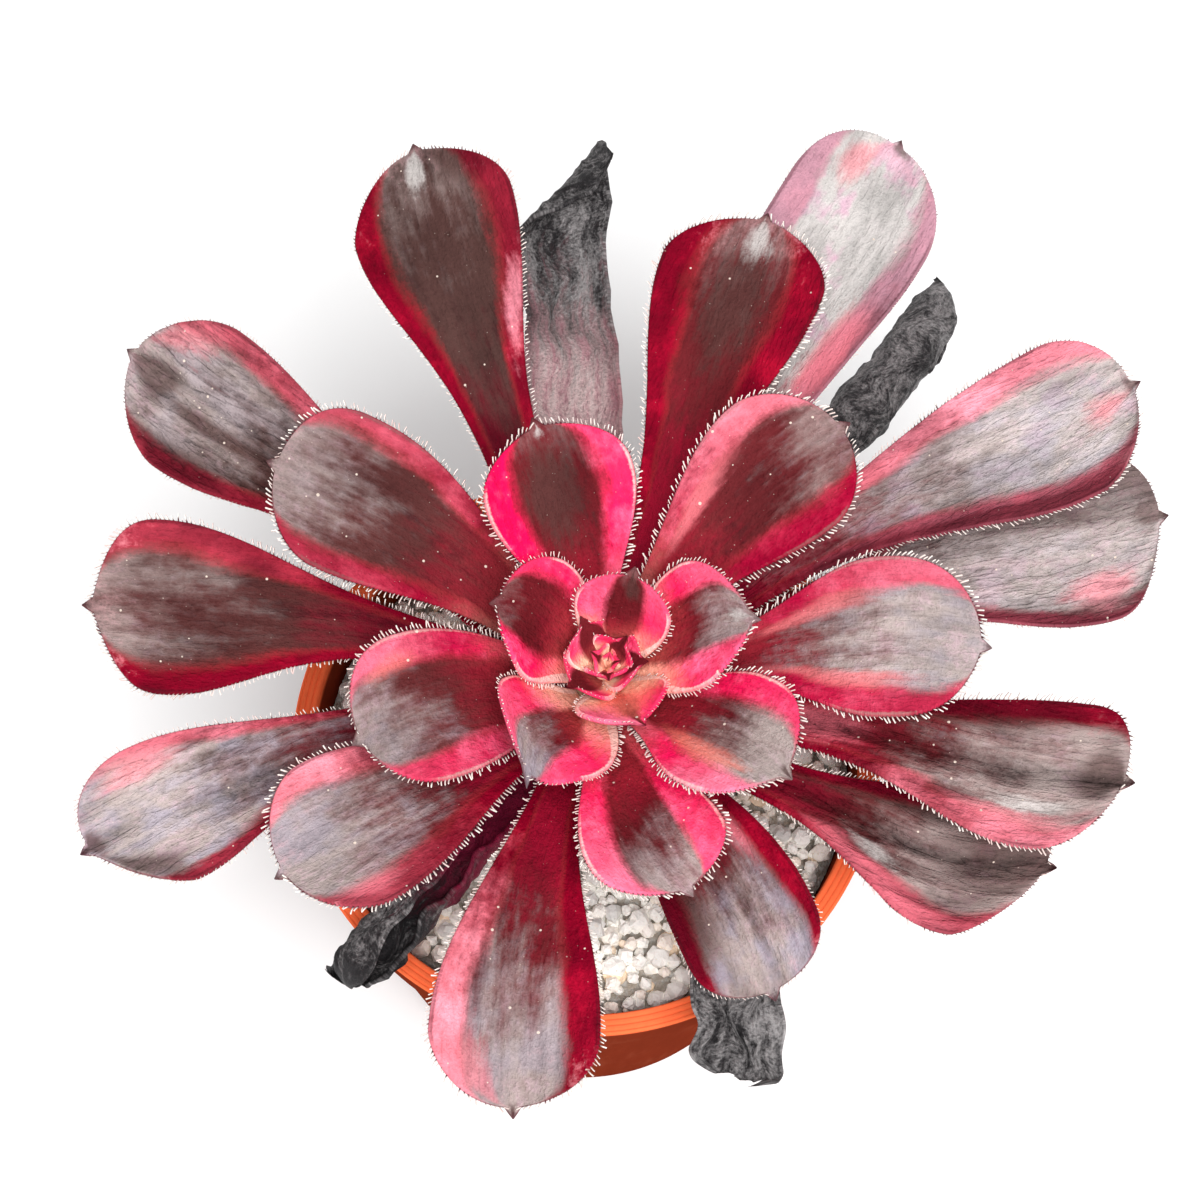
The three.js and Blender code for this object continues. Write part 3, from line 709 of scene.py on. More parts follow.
def leaf_finish(looks):
    """Velvety skin: a dark stripe that greys to the tip, between crimson, salmon or pink margins, with
    painted light and shade.
    """
    skin = Finish("velvet_leaf", Specular_IOR_Level=0.05)
    mix = skin.mix
    s, reach, upper = skin.attribute("leaf_place").parts()
    stripe, silver, bloom = skin.attribute("leaf_tones").parts()
    blush, pink, cream = skin.attribute("leaf_blush").parts()
    haze, claret, to_tip = skin.attribute("leaf_hues").parts()
    paler, darker, warmer = skin.attribute("leaf_marks").parts()
    rise, wrinkled, _ = skin.attribute("leaf_rise").parts()
    spot = skin.attribute("leaf_blade")
    long_lines = skin.lines(spot, (0.1, 0.5, 1), 0.05)
    short_lines = skin.lines(spot, (0.35, 0.9, 1), 0.05)
    creases = (long_lines + short_lines * 0.6) * (0.12 + wrinkled * 0.5)
    bands = skin.streaks(spot, (0.05, 0.3, 1), 3, 0.55)
    fibres = skin.streaks(spot, (0.16, 0.9, 1), 4, 0.65)
    clouds = skin.cloud(spot, 0.13, 3, 0.6)
    mottle = skin.streaks(spot, (0.6, 0.9, 1), 5, 0.7)
    fuzz = skin.cloud(spot, 2.6, 2, 0.6)
    edge = reach + bands * 0.35 + clouds * 0.2 + mottle * 0.1 + fuzz * 0.06
    wide = stripe + silver * 0.14 * s.rise(0.62, 0.95)
    margin = edge.rise(wide - 0.11, wide + 0.08)
    height = s + bands * 0.4 + clouds * 0.5 + fibres * 0.25 + mottle * 0.22
    ragged = bands * 1.0 + fibres * 0.6 + mottle * 0.6 + fuzz * 0.2
    paler = (paler + ragged).rise(0.3, 1.0)
    darker = (darker + ragged).rise(0.2, 0.8)
    warmer = (warmer - ragged).rise(0.3, 1.0)

    root = mix(claret, looks.maroon, looks.garnet)
    mid = mix(claret, looks.umber, looks.claret)
    centre = mix((s + fibres * 0.3 + clouds * 0.3).rise(0.36, 0.64), root, mid)
    centre = mix((mottle + bands).rise(-0.02, 0.3) * 0.5, centre, looks.soot)
    start = 1.0 - silver * 0.4
    grey = height.rise(start - 0.18, start + 0.24) * (0.3 + silver * 0.7)
    ash = mix((clouds - bands * 0.6).rise(-0.12, 0.16) * haze, looks.silver, looks.mist)
    ash = mix((mottle - clouds).rise(0.0, 0.3) * 0.4, ash, looks.lilac)
    centre = mix(grey, centre, ash)
    foot = cream * (1 - (s + clouds * 0.3 + mottle * 0.2).rise(0.22, 0.62))
    centre = mix(foot, centre, mix((cream - 1.4).rise(0, 1.6), looks.olive, looks.cream))
    pale = bloom * (height + mottle * 0.3).rise(0.2, 0.62)
    tint = mix((clouds + bands * 0.5).rise(0.0, 0.16), looks.bloom, looks.lilac)
    centre = mix(pale * 0.85, centre, tint)

    rim = mix((clouds + mottle * 0.35).rise(-0.1, 0.35), looks.crimson, looks.ruby)
    fresh = mix((clouds + mottle * 0.4).rise(-0.05, 0.25) * 0.7, looks.pink, looks.petal)
    rim = mix(pink, rim, fresh)
    rim = mix((bands - clouds).rise(0.05, 0.3) * (1 - pink) * 0.5, rim, looks.wine)
    # Painted light, partly the margins' own blush: salmon towards the tip, laid most on the margin that faces
    # the key light.
    lit = blush * (s + clouds * 0.5 + mottle * 0.25).rise(0.4, 0.85)
    warm = mix(clouds.rise(-0.1, 0.2), looks.salmon, looks.rose)
    rim = mix(lit, rim, mix(pink * 0.6, warm, looks.petal))
    rim = mix(pale * 0.6, rim, looks.lilac)
    near_foot = 1 - (s + mottle * 0.25 - cream * 0.1).rise(0.1, 0.5)
    rim = mix(cream * near_foot, rim, looks.cream)
    worn = (s + clouds * 0.4 + mottle * 0.3 + fuzz * 0.1).rise(0.92, 1.08) * (1 - pink * 0.7)
    rim = mix(worn * 0.7, rim, looks.dusty)
    centre = mix(worn * 0.25, centre, looks.dusty)
    band = 1 - (abs(edge - wide) / 0.13).rise(0, 1)
    both = mix(margin, centre, rim)
    both = mix(band * 0.35 * (1 - grey * 0.7), both, looks.rust)
    both = mix(darker * 0.75, both, mix(margin, looks.umber, looks.wine))
    both = mix(warmer * 0.6, both, mix(pink, looks.salmon, looks.coral))
    both = mix(paler * 0.65, both, mix(margin, looks.bloom, looks.rose))
    line = mix(pink, looks.bark, looks.edge)
    both = mix((reach + fuzz * 0.05).rise(0.968, 1.0) * 0.6, both, line)
    tip = 1 - (to_tip + fuzz).rise(0.3, 1.6)
    both = mix(tip * (1 - pink * 0.4) * 0.8, both, looks.bark)

    # Painted light and shade of the relief: lighter where the skin's rise stands high, darker along the
    # creases; the noises give the skin its own uneven tone.
    light = 1.15 + bands * 0.3 + fibres * 0.4 + mottle * 0.55 + fuzz * 0.45 + rise * 0.4 - creases * 0.5
    both = skin.scaled(both, light)
    below = mix(reach.rise(0.3, 0.8), looks.underside, rim)
    both = mix(upper, below, both)
    dust = skin.specks(spot, 0.35, 0.07) * 0.9 + skin.specks(spot, 0.9, 0.06) * 0.35
    both = mix(dust * upper, both, looks.speck)
    return skin.done(both, roughness=0.55 - grey * 0.1 + fuzz * 0.25,
                     height=fibres * 0.5 + mottle + fuzz * 0.3 - creases * 0.5, depth=0.6)


def dried_finish(looks):
    """Papery charcoal skin, mauve towards the base, with painted highlights on its raised creases."""
    skin = Finish("dried_leaf", Specular_IOR_Level=0.25)
    s, reach, _ = skin.attribute("leaf_place").parts()
    living, pallor, _ = skin.attribute("leaf_tones").parts()
    claret = skin.attribute("leaf_hues").parts()[1]
    rise = skin.attribute("leaf_rise").parts()[0]
    spot = skin.attribute("leaf_blade")
    pleats = skin.streaks(spot, (0.12, 0.7, 1), 5, 0.65)
    creases = skin.streaks(spot, (0.7, 1.3, 1), 5, 0.7)
    grain = skin.cloud(spot, 2.2, 3, 0.7)
    dead = (s + creases * 0.3 + pleats * 0.5).rise(living - 0.16, living + 0.14)
    base = skin.mix((pleats + creases * 0.4).rise(-0.22, 0.14), looks.mauve, looks.faded)
    base = skin.mix((reach + creases).rise(0.6, 1.1) * 0.5, base, looks.plum)
    base = skin.mix(claret, base, looks.plum)
    # Painted highlights: the dead skin goes from charcoal to ash where its creases, pleats and crumples stand
    # high, and where it is paler; the crumple's height lightens it further.
    lit = (rise * 0.2 + creases * 1.1 + pleats * 0.3 + grain * 0.8 + pallor * 0.4).rise(-0.16, 0.44)
    colour = skin.mix(dead, base, skin.mix(lit, looks.charcoal, looks.ash))
    colour = skin.scaled(colour, 1 + grain * 1.2 + creases * 0.5 + rise * 0.15)
    return skin.done(colour, roughness=0.55 + grain * 0.4, height=creases + pleats + grain * 0.6, depth=1.2)


def pot_finish(looks):
    """Moulded terracotta-coloured plastic, bright on the lip; the darker wall below is painted shade, partly
    a browner plastic; streaked and dusty.
    """
    plastic = Finish("terracotta_plastic", Specular_IOR_Level=0.0)
    place = plastic.place()
    height = place.parts()[2]
    streaks = plastic.streaks(place, (1, 1, 0.05), 4, 0.6, scale=400)
    clouds = plastic.cloud(place, 60, 3)
    dust = plastic.cloud(place, 900, 3, 0.7)
    # Painted shade: below the lip the wall turns to the darker body colour, partly a browner plastic, mostly
    # the shade of the wall under the leaves.
    low = 1 - height.rise(*(h * MM for h in SHADED_WALL_TOP))
    colour = plastic.mix(low, looks.lip, looks.body)
    colour = plastic.mix((clouds * 1.5 + streaks).rise(0.05, 0.5) * 0.35, colour, looks.worn)
    # Vertical streaks lighten and darken the colour: partly the plastic's own streaks, partly painted
    # highlights along the wall.
    colour = plastic.scaled(colour, 1 + streaks * 0.3 + dust * 0.15)
    return plastic.done(colour, roughness=0.5 + clouds * 0.3 + dust * 0.2,
                        height=streaks * 0.5 + dust * 0.3, depth=0.08)


def pumice_finish(looks):
    """Porous stone, each grain of its own tone."""
    stone = Finish("pumice", Roughness=0.9, Specular_IOR_Level=0.2)
    tone = stone.attribute("grain_tone").parts()[0]
    place = stone.place()
    pores = stone.cloud(place, 1500, 4, 0.7)
    holes = stone.specks(place, 1400, 0.22)
    stains = stone.cloud(place, 350, 3, 0.6)
    colour = stone.mix(tone.rise(0.45, 0.8), looks.white, looks.pinkish)
    colour = stone.mix(tone.rise(0.82, 0.88), colour, looks.tan)
    colour = stone.mix(tone.rise(0.93, 0.96), colour, looks.grey)
    colour = stone.mix(stains.rise(0.08, 0.3) * 0.3, colour, looks.tan)
    colour = stone.mix(holes * 0.4, colour, looks.pore)
    # Painted light: the grains' colour is lifted past white by 1.15 so that the gravel stays bright in the
    # leaves' shade; the pores vary it.
    colour = stone.scaled(colour, 1.15 + pores * 0.5)
    return stone.done(colour, height=pores - holes * 0.4, depth=0.3)


def bed_finish(looks):
    """Fine, shaded dust between the grains."""
    dust = Finish("pumice_dust", Roughness=0.95, Specular_IOR_Level=0.1)
    grains = dust.cloud(dust.place(), 900, 4, 0.7)
    colour = dust.mix(grains.rise(-0.1, 0.2), looks.pore, looks.grey)
    return dust.done(colour, height=grains, depth=0.8)


def mix_finish(looks):
    """Dark, fibrous potting mix."""
    soil = Finish("peat_mix", Roughness=0.95, Specular_IOR_Level=0.2)
    place = soil.place()
    crumbs = soil.cloud(place, 700, 5, 0.7)
    fibres = soil.streaks(place, (1, 6, 2), 3, scale=200)
    colour = soil.mix(crumbs.rise(-0.05, 0.2), looks.soil, looks.peat)
    colour = soil.mix(fibres.rise(0.15, 0.25) * 0.6, colour, looks.fibre)
    return soil.done(colour, height=crumbs + fibres * 0.5, depth=1.2)


def bark_finish(looks):
    """Grey-brown bark with paler leaf scars."""
    bark = Finish("stem_bark", Roughness=0.85)
    place = bark.place()
    scar = bark.attribute("scar").parts()[0]
    grain = bark.streaks(place, (1, 1, 0.3), 4, 0.65, scale=900)
    colour = bark.mix(grain.rise(-0.1, 0.25), looks.bark, looks.bark_light)
    return bark.done(bark.mix(scar, colour, looks.scar), height=grain, depth=0.4)


def hair_finish(looks):
    """White, slightly glassy hairs."""
    hair = Finish("leaf_hair", Roughness=0.4)
    share = hair.attribute("hair_share").parts()[0]
    tint = hair.cloud(hair.place(), 300, 2)
    pale = hair.mix(tint.rise(-0.2, 0.3), looks.hair, looks.hair_shade)
    hair.feed("Base Color", hair.mix((share + tint).rise(0.2, 0.6), looks.hair_root, pale))
    return hair.material


# ---- Geometry Nodes ----


class Tree(Net):
    """A Geometry Nodes tree with named inputs."""

    def __init__(self, name, **sizes):
        super().__init__(bpy.data.node_groups.new(name, "GeometryNodeTree"))
        sockets = self.tree.interface
        for way in ("OUTPUT", "INPUT"):
            sockets.new_socket("Geometry", in_out=way, socket_type="NodeSocketGeometry")
        for label, default in sizes.items():
            kind = "NodeSocketInt" if isinstance(default, int) else "NodeSocketFloat"
            sockets.new_socket(label, in_out="INPUT", socket_type=kind).default_value = default
        self.given = self.tree.nodes.new("NodeGroupInput")

    def size(self, label):
        return Wire(self, self.given.outputs[label])

    def chance(self, low, high, seed, kind="FLOAT"):
        """A random number or vector for each point."""
        first, out = {"FLOAT": (2, 1), "FLOAT_VECTOR": (0, 0)}[kind]
        inputs = {first: low, first + 1: high, "Seed": seed}
        return self.add("FunctionNodeRandomValue", inputs, out, data_type=kind)

    def end(self, geometry, material):
        """Gives the tree's result its material."""
        done = self.add("GeometryNodeSetMaterial", {"Geometry": geometry, "Material": material})
        out = self.tree.nodes.new("NodeGroupOutput")
        self.tree.links.new(done.socket, out.inputs[0])


def grown(name, source, tree, values):
    """The source mesh with the tree run on it, as a plain mesh object. The source is removed."""
    modifier = source.modifiers.new("Growth", "NODES")
    modifier.node_group = tree.tree
    keys = {item.name: item.identifier for item in tree.tree.interface.items_tree}
    for label, value in values.items():
        modifier[keys[label]] = value
    source.update_tag()
    graph = bpy.context.evaluated_depsgraph_get()
    mesh = bpy.data.meshes.new_from_object(source.evaluated_get(graph), depsgraph=graph)
    source.modifiers.remove(modifier)
    bpy.data.objects.remove(source)
    mesh.name = name
    return placed(name, mesh)


def hair_tree(material):
    """Rows of short curved hairs along polylines that carry an outward direction."""
    tree = Tree("Margin hairs", Spacing=0.0006, Length=0.0012, Thickness=0.0001, Spread=0.3, Seed=1)
    seed, length = tree.size("Seed"), tree.size("Length")
    line = tree.add("GeometryNodeMeshToCurve", {0: tree.size("Geometry")})
    rows = tree.add("GeometryNodeResampleCurve", {
        "Curve": line, "Length": tree.size("Spacing")}, mode="LENGTH")
    start, bend, end = HAIR_STALK
    stalk = tree.add("GeometryNodeCurveQuadraticBezier", {
        "Resolution": 3, "Start": start, "Middle": bend, "End": end})
    share = tree.add("GeometryNodeSplineParameter")
    taper = tree.add("GeometryNodeSetCurveRadius", {"Curve": stalk, "Radius": 1.0 - share * 0.75})
    taper = tree.add("GeometryNodeStoreNamedAttribute", {
        "Geometry": taper, "Name": "hair_share", "Value": share})
    ratio = tree.size("Thickness") / length
    section = tree.add("GeometryNodeCurvePrimitiveCircle", {"Resolution": 3, "Radius": ratio})
    hair = tree.add("GeometryNodeCurveToMesh", {
        "Curve": taper, "Profile Curve": section, "Fill Caps": True})
    outward = tree.add("GeometryNodeInputNamedAttribute", {"Name": "outward"}, data_type="FLOAT_VECTOR")
    longer = tree.vector("LENGTH", outward, output="Value")
    stray = tree.chance((-1, -1, -1), (1, 1, 1), seed, "FLOAT_VECTOR")
    stray = tree.scaled(stray, tree.size("Spread") * longer)
    aim = tree.vector("ADD", outward, stray)
    turn = tree.add("FunctionNodeAlignRotationToVector", {"Vector": aim}, axis="Z")
    scale = length * longer * tree.chance(0.6, 1.25, seed + 1)
    hairs = tree.add("GeometryNodeInstanceOnPoints", {
        "Points": rows, "Instance": hair, "Rotation": turn, "Scale": scale})
    tree.end(tree.add("GeometryNodeRealizeInstances", {0: hairs}), material)
    return tree


def gravel_tree(stone):
    """Rough grains of several shapes, scattered evenly over the faces of the mesh they are given."""
    tree = Tree("Grains", Smallest=0.0014, Largest=0.003, Apart=0.0034, Roughness=0.3, Seed=1)
    seed, roughness = tree.size("Seed"), tree.size("Roughness")
    spots = tree.add("GeometryNodeDistributePointsOnFaces", {
        "Mesh": tree.size("Geometry"), "Distance Min": tree.size("Apart"), "Density Max": 400000.0,
        "Seed": seed}, distribute_method="POISSON")
    shapes = tree.add("GeometryNodeJoinGeometry")
    for kind in range(GRAIN_KINDS):
        block = tree.add("GeometryNodeMeshCube", {
            "Size": (1, 1, 1), "Vertices X": 3, "Vertices Y": 3, "Vertices Z": 3})
        here = tree.vector("NORMALIZE", tree.add("GeometryNodeInputPosition"))
        moved = tree.vector("ADD", here, (kind * 7, 3, 1))
        lumps = tree.add("ShaderNodeTexNoise", {"Vector": moved, "Scale": 1.8, "Detail": 3.0})
        flats = tree.add("ShaderNodeTexVoronoi", {"Vector": moved, "Scale": 1.1}, feature="SMOOTH_F1")
        shape = tree.scaled(here, 1 + (lumps - 0.5) * roughness * 4 - flats * roughness)
        rough = tree.add("GeometryNodeSetPosition", {"Geometry": block, "Position": shape})
        kept = tree.add("GeometryNodeGeometryToInstance", {0: rough})
        tree.tree.links.new(kept.socket, shapes.socket.node.inputs[0])
    size = tree.chance(tree.size("Smallest"), tree.size("Largest"), seed + 1)
    turn = tree.chance((0, 0, 0), (6.3, 6.3, 6.3), seed + 2, "FLOAT_VECTOR")
    grains = tree.add("GeometryNodeInstanceOnPoints", {
        "Points": spots, "Instance": shapes, "Pick Instance": True, "Rotation": turn, "Scale": size})
    tone = tree.chance(0.0, 1.0, seed + 3)
    toned = tree.add("GeometryNodeStoreNamedAttribute", {
        "Geometry": grains, "Name": "grain_tone", "Value": tone}, domain="INSTANCE")
    real = tree.add("GeometryNodeRealizeInstances", {0: toned})
    flat = tree.add("GeometryNodeSetShadeSmooth", {"Geometry": real, "Shade Smooth": False})
    tree.end(flat, stone)
    return tree


# ---- Sizes and colours that a user may change ----


def colour(name, description, *rgb):
    return bpy.props.FloatVectorProperty(
        name=name, description=description, subtype="COLOR", size=4, min=0, max=1, default=paint(*rgb))


def number(name, description, default, **rest):
    return bpy.props.FloatProperty(name=name, description=description, default=default, **rest)


def length(name, description, millimetres):
    return number(name, description, millimetres * MM, subtype="DISTANCE", unit="LENGTH", min=0)


def angle(name, description, degrees):
    return number(name, description, math.radians(degrees), subtype="ANGLE")


def whole(name, description, default):
    return bpy.props.IntProperty(name=name, description=description, default=default)


class AeoniumLeafLooks(bpy.types.PropertyGroup):
    """Colours of the living leaves."""

    crimson: colour("Crimson", "Margins of the outer leaves", 118, 0, 28)
    ruby: colour("Ruby", "Brighter places on those margins", 166, 8, 42)
    pink: colour("Pink", "Margins of the young leaves", 238, 10, 84)
    petal: colour("Petal", "Paler places on those margins", 255, 110, 152)
    # Salmon and rose colour the margins' own blush, and also the painted light on the lit margin.
    salmon: colour("Salmon", "Blush on the margins towards the tip", 228, 120, 134)
    rose: colour("Rose", "Palest blush", 246, 150, 166)
    dusty: colour("Dusty pink", "Skin at the very end of a leaf", 208, 140, 148)
    wine: colour("Wine", "Deepest red of the outer leaves", 74, 2, 18)
    rust: colour("Rust", "Line between the stripe and the margin", 136, 44, 44)
    maroon: colour("Maroon", "Stripe near the stem", 92, 6, 26)
    garnet: colour("Garnet", "Stripe near the stem of redder leaves", 144, 14, 42)
    umber: colour("Umber", "Stripe in the middle of the blade", 72, 48, 45)
    claret: colour("Claret", "Stripe in the middle of redder leaves", 98, 24, 31)
    soot: colour("Soot", "Dark fibres in the stripe", 38, 14, 18)
    silver: colour("Silver", "Stripe near the tip", 168, 154, 150)
    mist: colour("Mist", "Bluish grey in the silver", 156, 150, 168)
    bloom: colour("Bloom", "Bleached stripe of the old leaves", 190, 186, 183)
    lilac: colour("Lilac", "Bleached skin with some red in it", 198, 162, 178)
    coral: colour("Coral", "Warm patches on the young leaves", 255, 130, 112)
    bark: colour("Bark", "Corky edge and point of the outer leaves", 56, 10, 20)
    cream: colour("Cream", "Foot of the youngest leaves", 255, 192, 164)
    edge: colour("Edge", "Very edge of the young leaves", 255, 222, 212)
    olive: colour("Olive", "Foot of the youngest leaves' stripe", 164, 74, 68)
    underside: colour("Underside", "Lower face of the leaves", 96, 18, 32)
    speck: colour("Speck", "Grains of lime on the leaves", 232, 214, 200)


class AeoniumHairSizes(bpy.types.PropertyGroup):
    """Sizes of the hairs along the leaves' margins."""

    spacing: length("Spacing", "From one hair to the next", 0.62)
    reach: length("Length", "Mean length of a hair", 1.0)
    thickness: length("Thickness", "Radius of a hair at its foot", 0.11)
    spread: number("Spread", "How far hairs stray", 0.3)
    slant: number("Slant", "How far hairs lean to the tip", 0.6)
    seed: whole("Seed", "Another draw of hairs", 4)
    hair: colour("Hair", "Colour of the hairs", 255, 248, 240)
    hair_shade: colour("Hair, shaded", "Darker hairs", 232, 204, 198)
    hair_root: colour("Hair, root", "Feet of the hairs", 84, 18, 30)


class AeoniumDriedLooks(bpy.types.PropertyGroup):
    """Colours of the dried leaves."""

    charcoal: colour("Charcoal", "Dead skin", 46, 43, 45)
    # Ash: partly the pale dead skin, mostly painted highlight on the raised creases.
    ash: colour("Ash", "Raised creases of the dead skin", 150, 146, 146)
    mauve: colour("Mauve", "Skin that is not yet dead", 192, 142, 150)
    faded: colour("Faded", "Raised pleats of that skin", 240, 212, 210)
    plum: colour("Plum", "Margins of that skin", 150, 26, 66)
    crumple: length("Crumple", "Height of the creases", 0.7)


class AeoniumPotLooks(bpy.types.PropertyGroup):
    """Colours and sizes of the pot."""

    lip: colour("Lip", "Top of the rim", 255, 116, 70)
    # The body colour is darker than the lip: partly a browner plastic, mostly painted shade of the wall under
    # the leaves.
    body: colour("Body", "Wall below the rim", 120, 46, 28)
    worn: colour("Worn", "Rubbed and dusty places", 136, 68, 48)
    groove: length("Groove", "Depth of the rings on the lip", 0.28)


class AeoniumGravelLooks(bpy.types.PropertyGroup):
    """Colours and sizes of the gravel, the potting mix and the stem."""

    smallest: length("Smallest", "Radius of the smallest grain", 0.8)
    largest: length("Largest", "Radius of the largest grain", 2.3)
    apart: length("Apart", "Least distance between two grains", 2.0)
    seed: whole("Seed", "Another draw of grains", 3)
    white: colour("White", "Commonest grains", 255, 253, 247)
    pinkish: colour("Pinkish", "Pinkish grains", 255, 244, 232)
    tan: colour("Tan", "Tan grains", 246, 222, 194)
    grey: colour("Grey", "Grey grains", 224, 222, 218)
    pore: colour("Pore", "Pores of a grain", 192, 180, 166)
    soil: colour("Soil", "Potting mix", 34, 24, 18)
    peat: colour("Peat", "Lighter crumbs", 74, 54, 40)
    fibre: colour("Fibre", "Fibres", 120, 92, 64)
    bark: colour("Bark", "Stem", 92, 72, 56)
    bark_light: colour("Bark, light", "Raised bark", 140, 118, 98)
    scar: colour("Scar", "Leaf scars", 172, 148, 120)


class AeoniumStudio(bpy.types.PropertyGroup):
    """Camera and light."""

    elevation: angle("Elevation", "Camera above the horizon", 67.6)
    roll: angle("Roll", "Camera about its own axis", 2.7)
    lens: number("Lens", "Focal length in millimetres", 78)
    key: number("Key light", "Power", 56, unit="POWER")
    fill: number("Fill light", "Strength of the surroundings", 0.46)
    floor: colour("Floor", "Floor", 246, 246, 246)


GROUPS = {
    "aeonium_leaf": AeoniumLeafLooks,
    "aeonium_hair": AeoniumHairSizes,
    "aeonium_dried": AeoniumDriedLooks,
    "aeonium_pot": AeoniumPotLooks,
    "aeonium_gravel": AeoniumGravelLooks,
    "aeonium_studio": AeoniumStudio,
}

# ---- Pot, gravel and stem ----


def body_radius(height):
    return between(BASE_RADIUS, RIM_RADIUS - COLLAR_STEP, height / POT_HEIGHT)


def inside_radius(height):
    at_collar = body_radius(COLLAR_BOTTOM) - WALL
    if height > COLLAR_BOTTOM:
        return between(at_collar, RIM_RADIUS - LIP_WIDTH, (height - COLLAR_BOTTOM) / COLLAR_HEIGHT)
    return between(BASE_RADIUS - WALL, at_collar, height / COLLAR_BOTTOM)


def pot_profile(groove):
    """Radius and height from the middle of the base, outside and up, over the lip and down inside."""
    outside = [(BASE_RADIUS - BASE_ROUNDING, 0), (BASE_RADIUS, BASE_ROUNDING)]
    outside += [(body_radius(h), h) for h in np.linspace(4, COLLAR_BOTTOM, 16)]
    at_collar = body_radius(COLLAR_BOTTOM) + COLLAR_STEP
    collar = [(at_collar, COLLAR_BOTTOM + COLLAR_STEP * 0.5), (at_collar + 0.15, COLLAR_BOTTOM + COLLAR_STEP)]
    collar += [(RIM_RADIUS - 0.1, POT_HEIGHT - 1), (RIM_RADIUS, POT_HEIGHT - 0.5)]
    lip = []
    for share in np.linspace(0, 1, 25):
        ring = RIM_RADIUS - 0.35 - share * (LIP_WIDTH - 0.6)
        dip = groove / MM * max(0, math.sin(share * LIP_RINGS * math.tau)) ** 2
        lip.append((ring, POT_HEIGHT - dip * 0.8))
    inside = [(inside_radius(POT_HEIGHT), POT_HEIGHT - 0.4)]
    inside += [(inside_radius(h), h) for h in np.linspace(POT_HEIGHT - 3, FLOOR, 20)]
    return [(0, 0)] + outside + collar + lip + inside + [(0, FLOOR)]


def turned(name, profile, sides, finish=None):
    """A closed turned piece from radius and height pairs, from the axis round to the axis."""
    corners = [(0, 0, profile[0][1]), (0, 0, profile[-1][1])]
    for radius, height in profile[1:-1]:
        corners += circle(radius, height, sides)
    rows = len(profile) - 2
    faces = []
    for j in range(sides):
        i = (j + 1) % sides
        faces.append((0, 2 + i, 2 + j))
        last = 2 + (rows - 1) * sides
        faces.append((1, last + j, last + i))
        for k in range(rows - 1):
            low, high = 2 + k * sides, 2 + (k + 1) * sides
            faces.append((low + j, low + i, high + i, high + j))
    return new_piece(name, corners, faces, finish)


def drilled(piece, drills):
    """The piece with the drills cut out of it. The drills are removed."""
    for drill in drills:
        cut = piece.modifiers.new("Hole", "BOOLEAN")
        cut.operation = "DIFFERENCE"
        cut.solver = "EXACT"
        cut.object = drill
        graph = bpy.context.evaluated_depsgraph_get()
        mesh = bpy.data.meshes.new_from_object(piece.evaluated_get(graph), depsgraph=graph)
        piece.modifiers.remove(cut)
        piece.data = mesh
        bpy.data.objects.remove(drill)
    return piece


class AEONIUM_OT_pot(bpy.types.Operator):
    """Builds the pot with its grooved lip, its collar and its drain holes"""

    bl_idname = "aeonium.pot"
    bl_label = "Pot"

    def execute(self, context):
        looks = context.scene.aeonium_pot
        pot = turned("flower_pot", pot_profile(looks.groove), POT_SIDES, pot_finish(looks))
        drills = []
        for place in circle(DRAIN_CIRCLE * MM, 0, DRAIN_HOLES):
            drill = turned("drill", [(0, -2), (DRAIN_RADIUS, -2), (DRAIN_RADIUS, 5), (0, 5)], DRAIN_SIDES)
            drill.data.transform(Matrix.Translation(place))
            drills.append(drill)
        settle(drilled(pot, drills), "pot_plastic", "pot")
        return {"FINISHED"}


class AEONIUM_OT_mix(bpy.types.Operator):
    """Gives the potting mix its finish"""

    bl_idname = "aeonium.mix"
    bl_label = "Potting mix"

    def execute(self, context):
        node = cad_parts["potting_mix"]
        node.data.materials.clear()
        node.data.materials.append(mix_finish(context.scene.aeonium_gravel))
        return {"FINISHED"}


class AEONIUM_OT_gravel(bpy.types.Operator):
    """Scatters three layers of pumice grains over a bed of their dust"""

    bl_idname = "aeonium.gravel"
    bl_label = "Gravel"

    def execute(self, context):
        looks = context.scene.aeonium_gravel
        tree = gravel_tree(pumice_finish(looks))
        edge = inside_radius(BED_TOP) - GAP
        profile = [(0, BED_BOTTOM), (inside_radius(BED_BOTTOM) - GAP, BED_BOTTOM)]
        profile += [(edge, DUST_TOP), (0, DUST_TOP)]
        layers = [turned("gravel_bed", profile, BED_SIDES, bed_finish(looks))]
        for k, (depth, size) in enumerate(GRAIN_LAYERS):
            ring = circle(edge - looks.largest / MM * size * 0.8, BED_TOP - depth, BED_SIDES // 2)
            plate = new_piece("plate", ring, [tuple(range(len(ring)))])
            values = {"Smallest": looks.smallest * size, "Largest": looks.largest * size}
            values.update(Apart=looks.apart * math.sqrt(size), Seed=looks.seed + k)
            layers.append(grown("grains", plate, tree, values))
        settle(join("pumice_gravel", layers), "pumice", "pumice_layer")
        return {"FINISHED"}


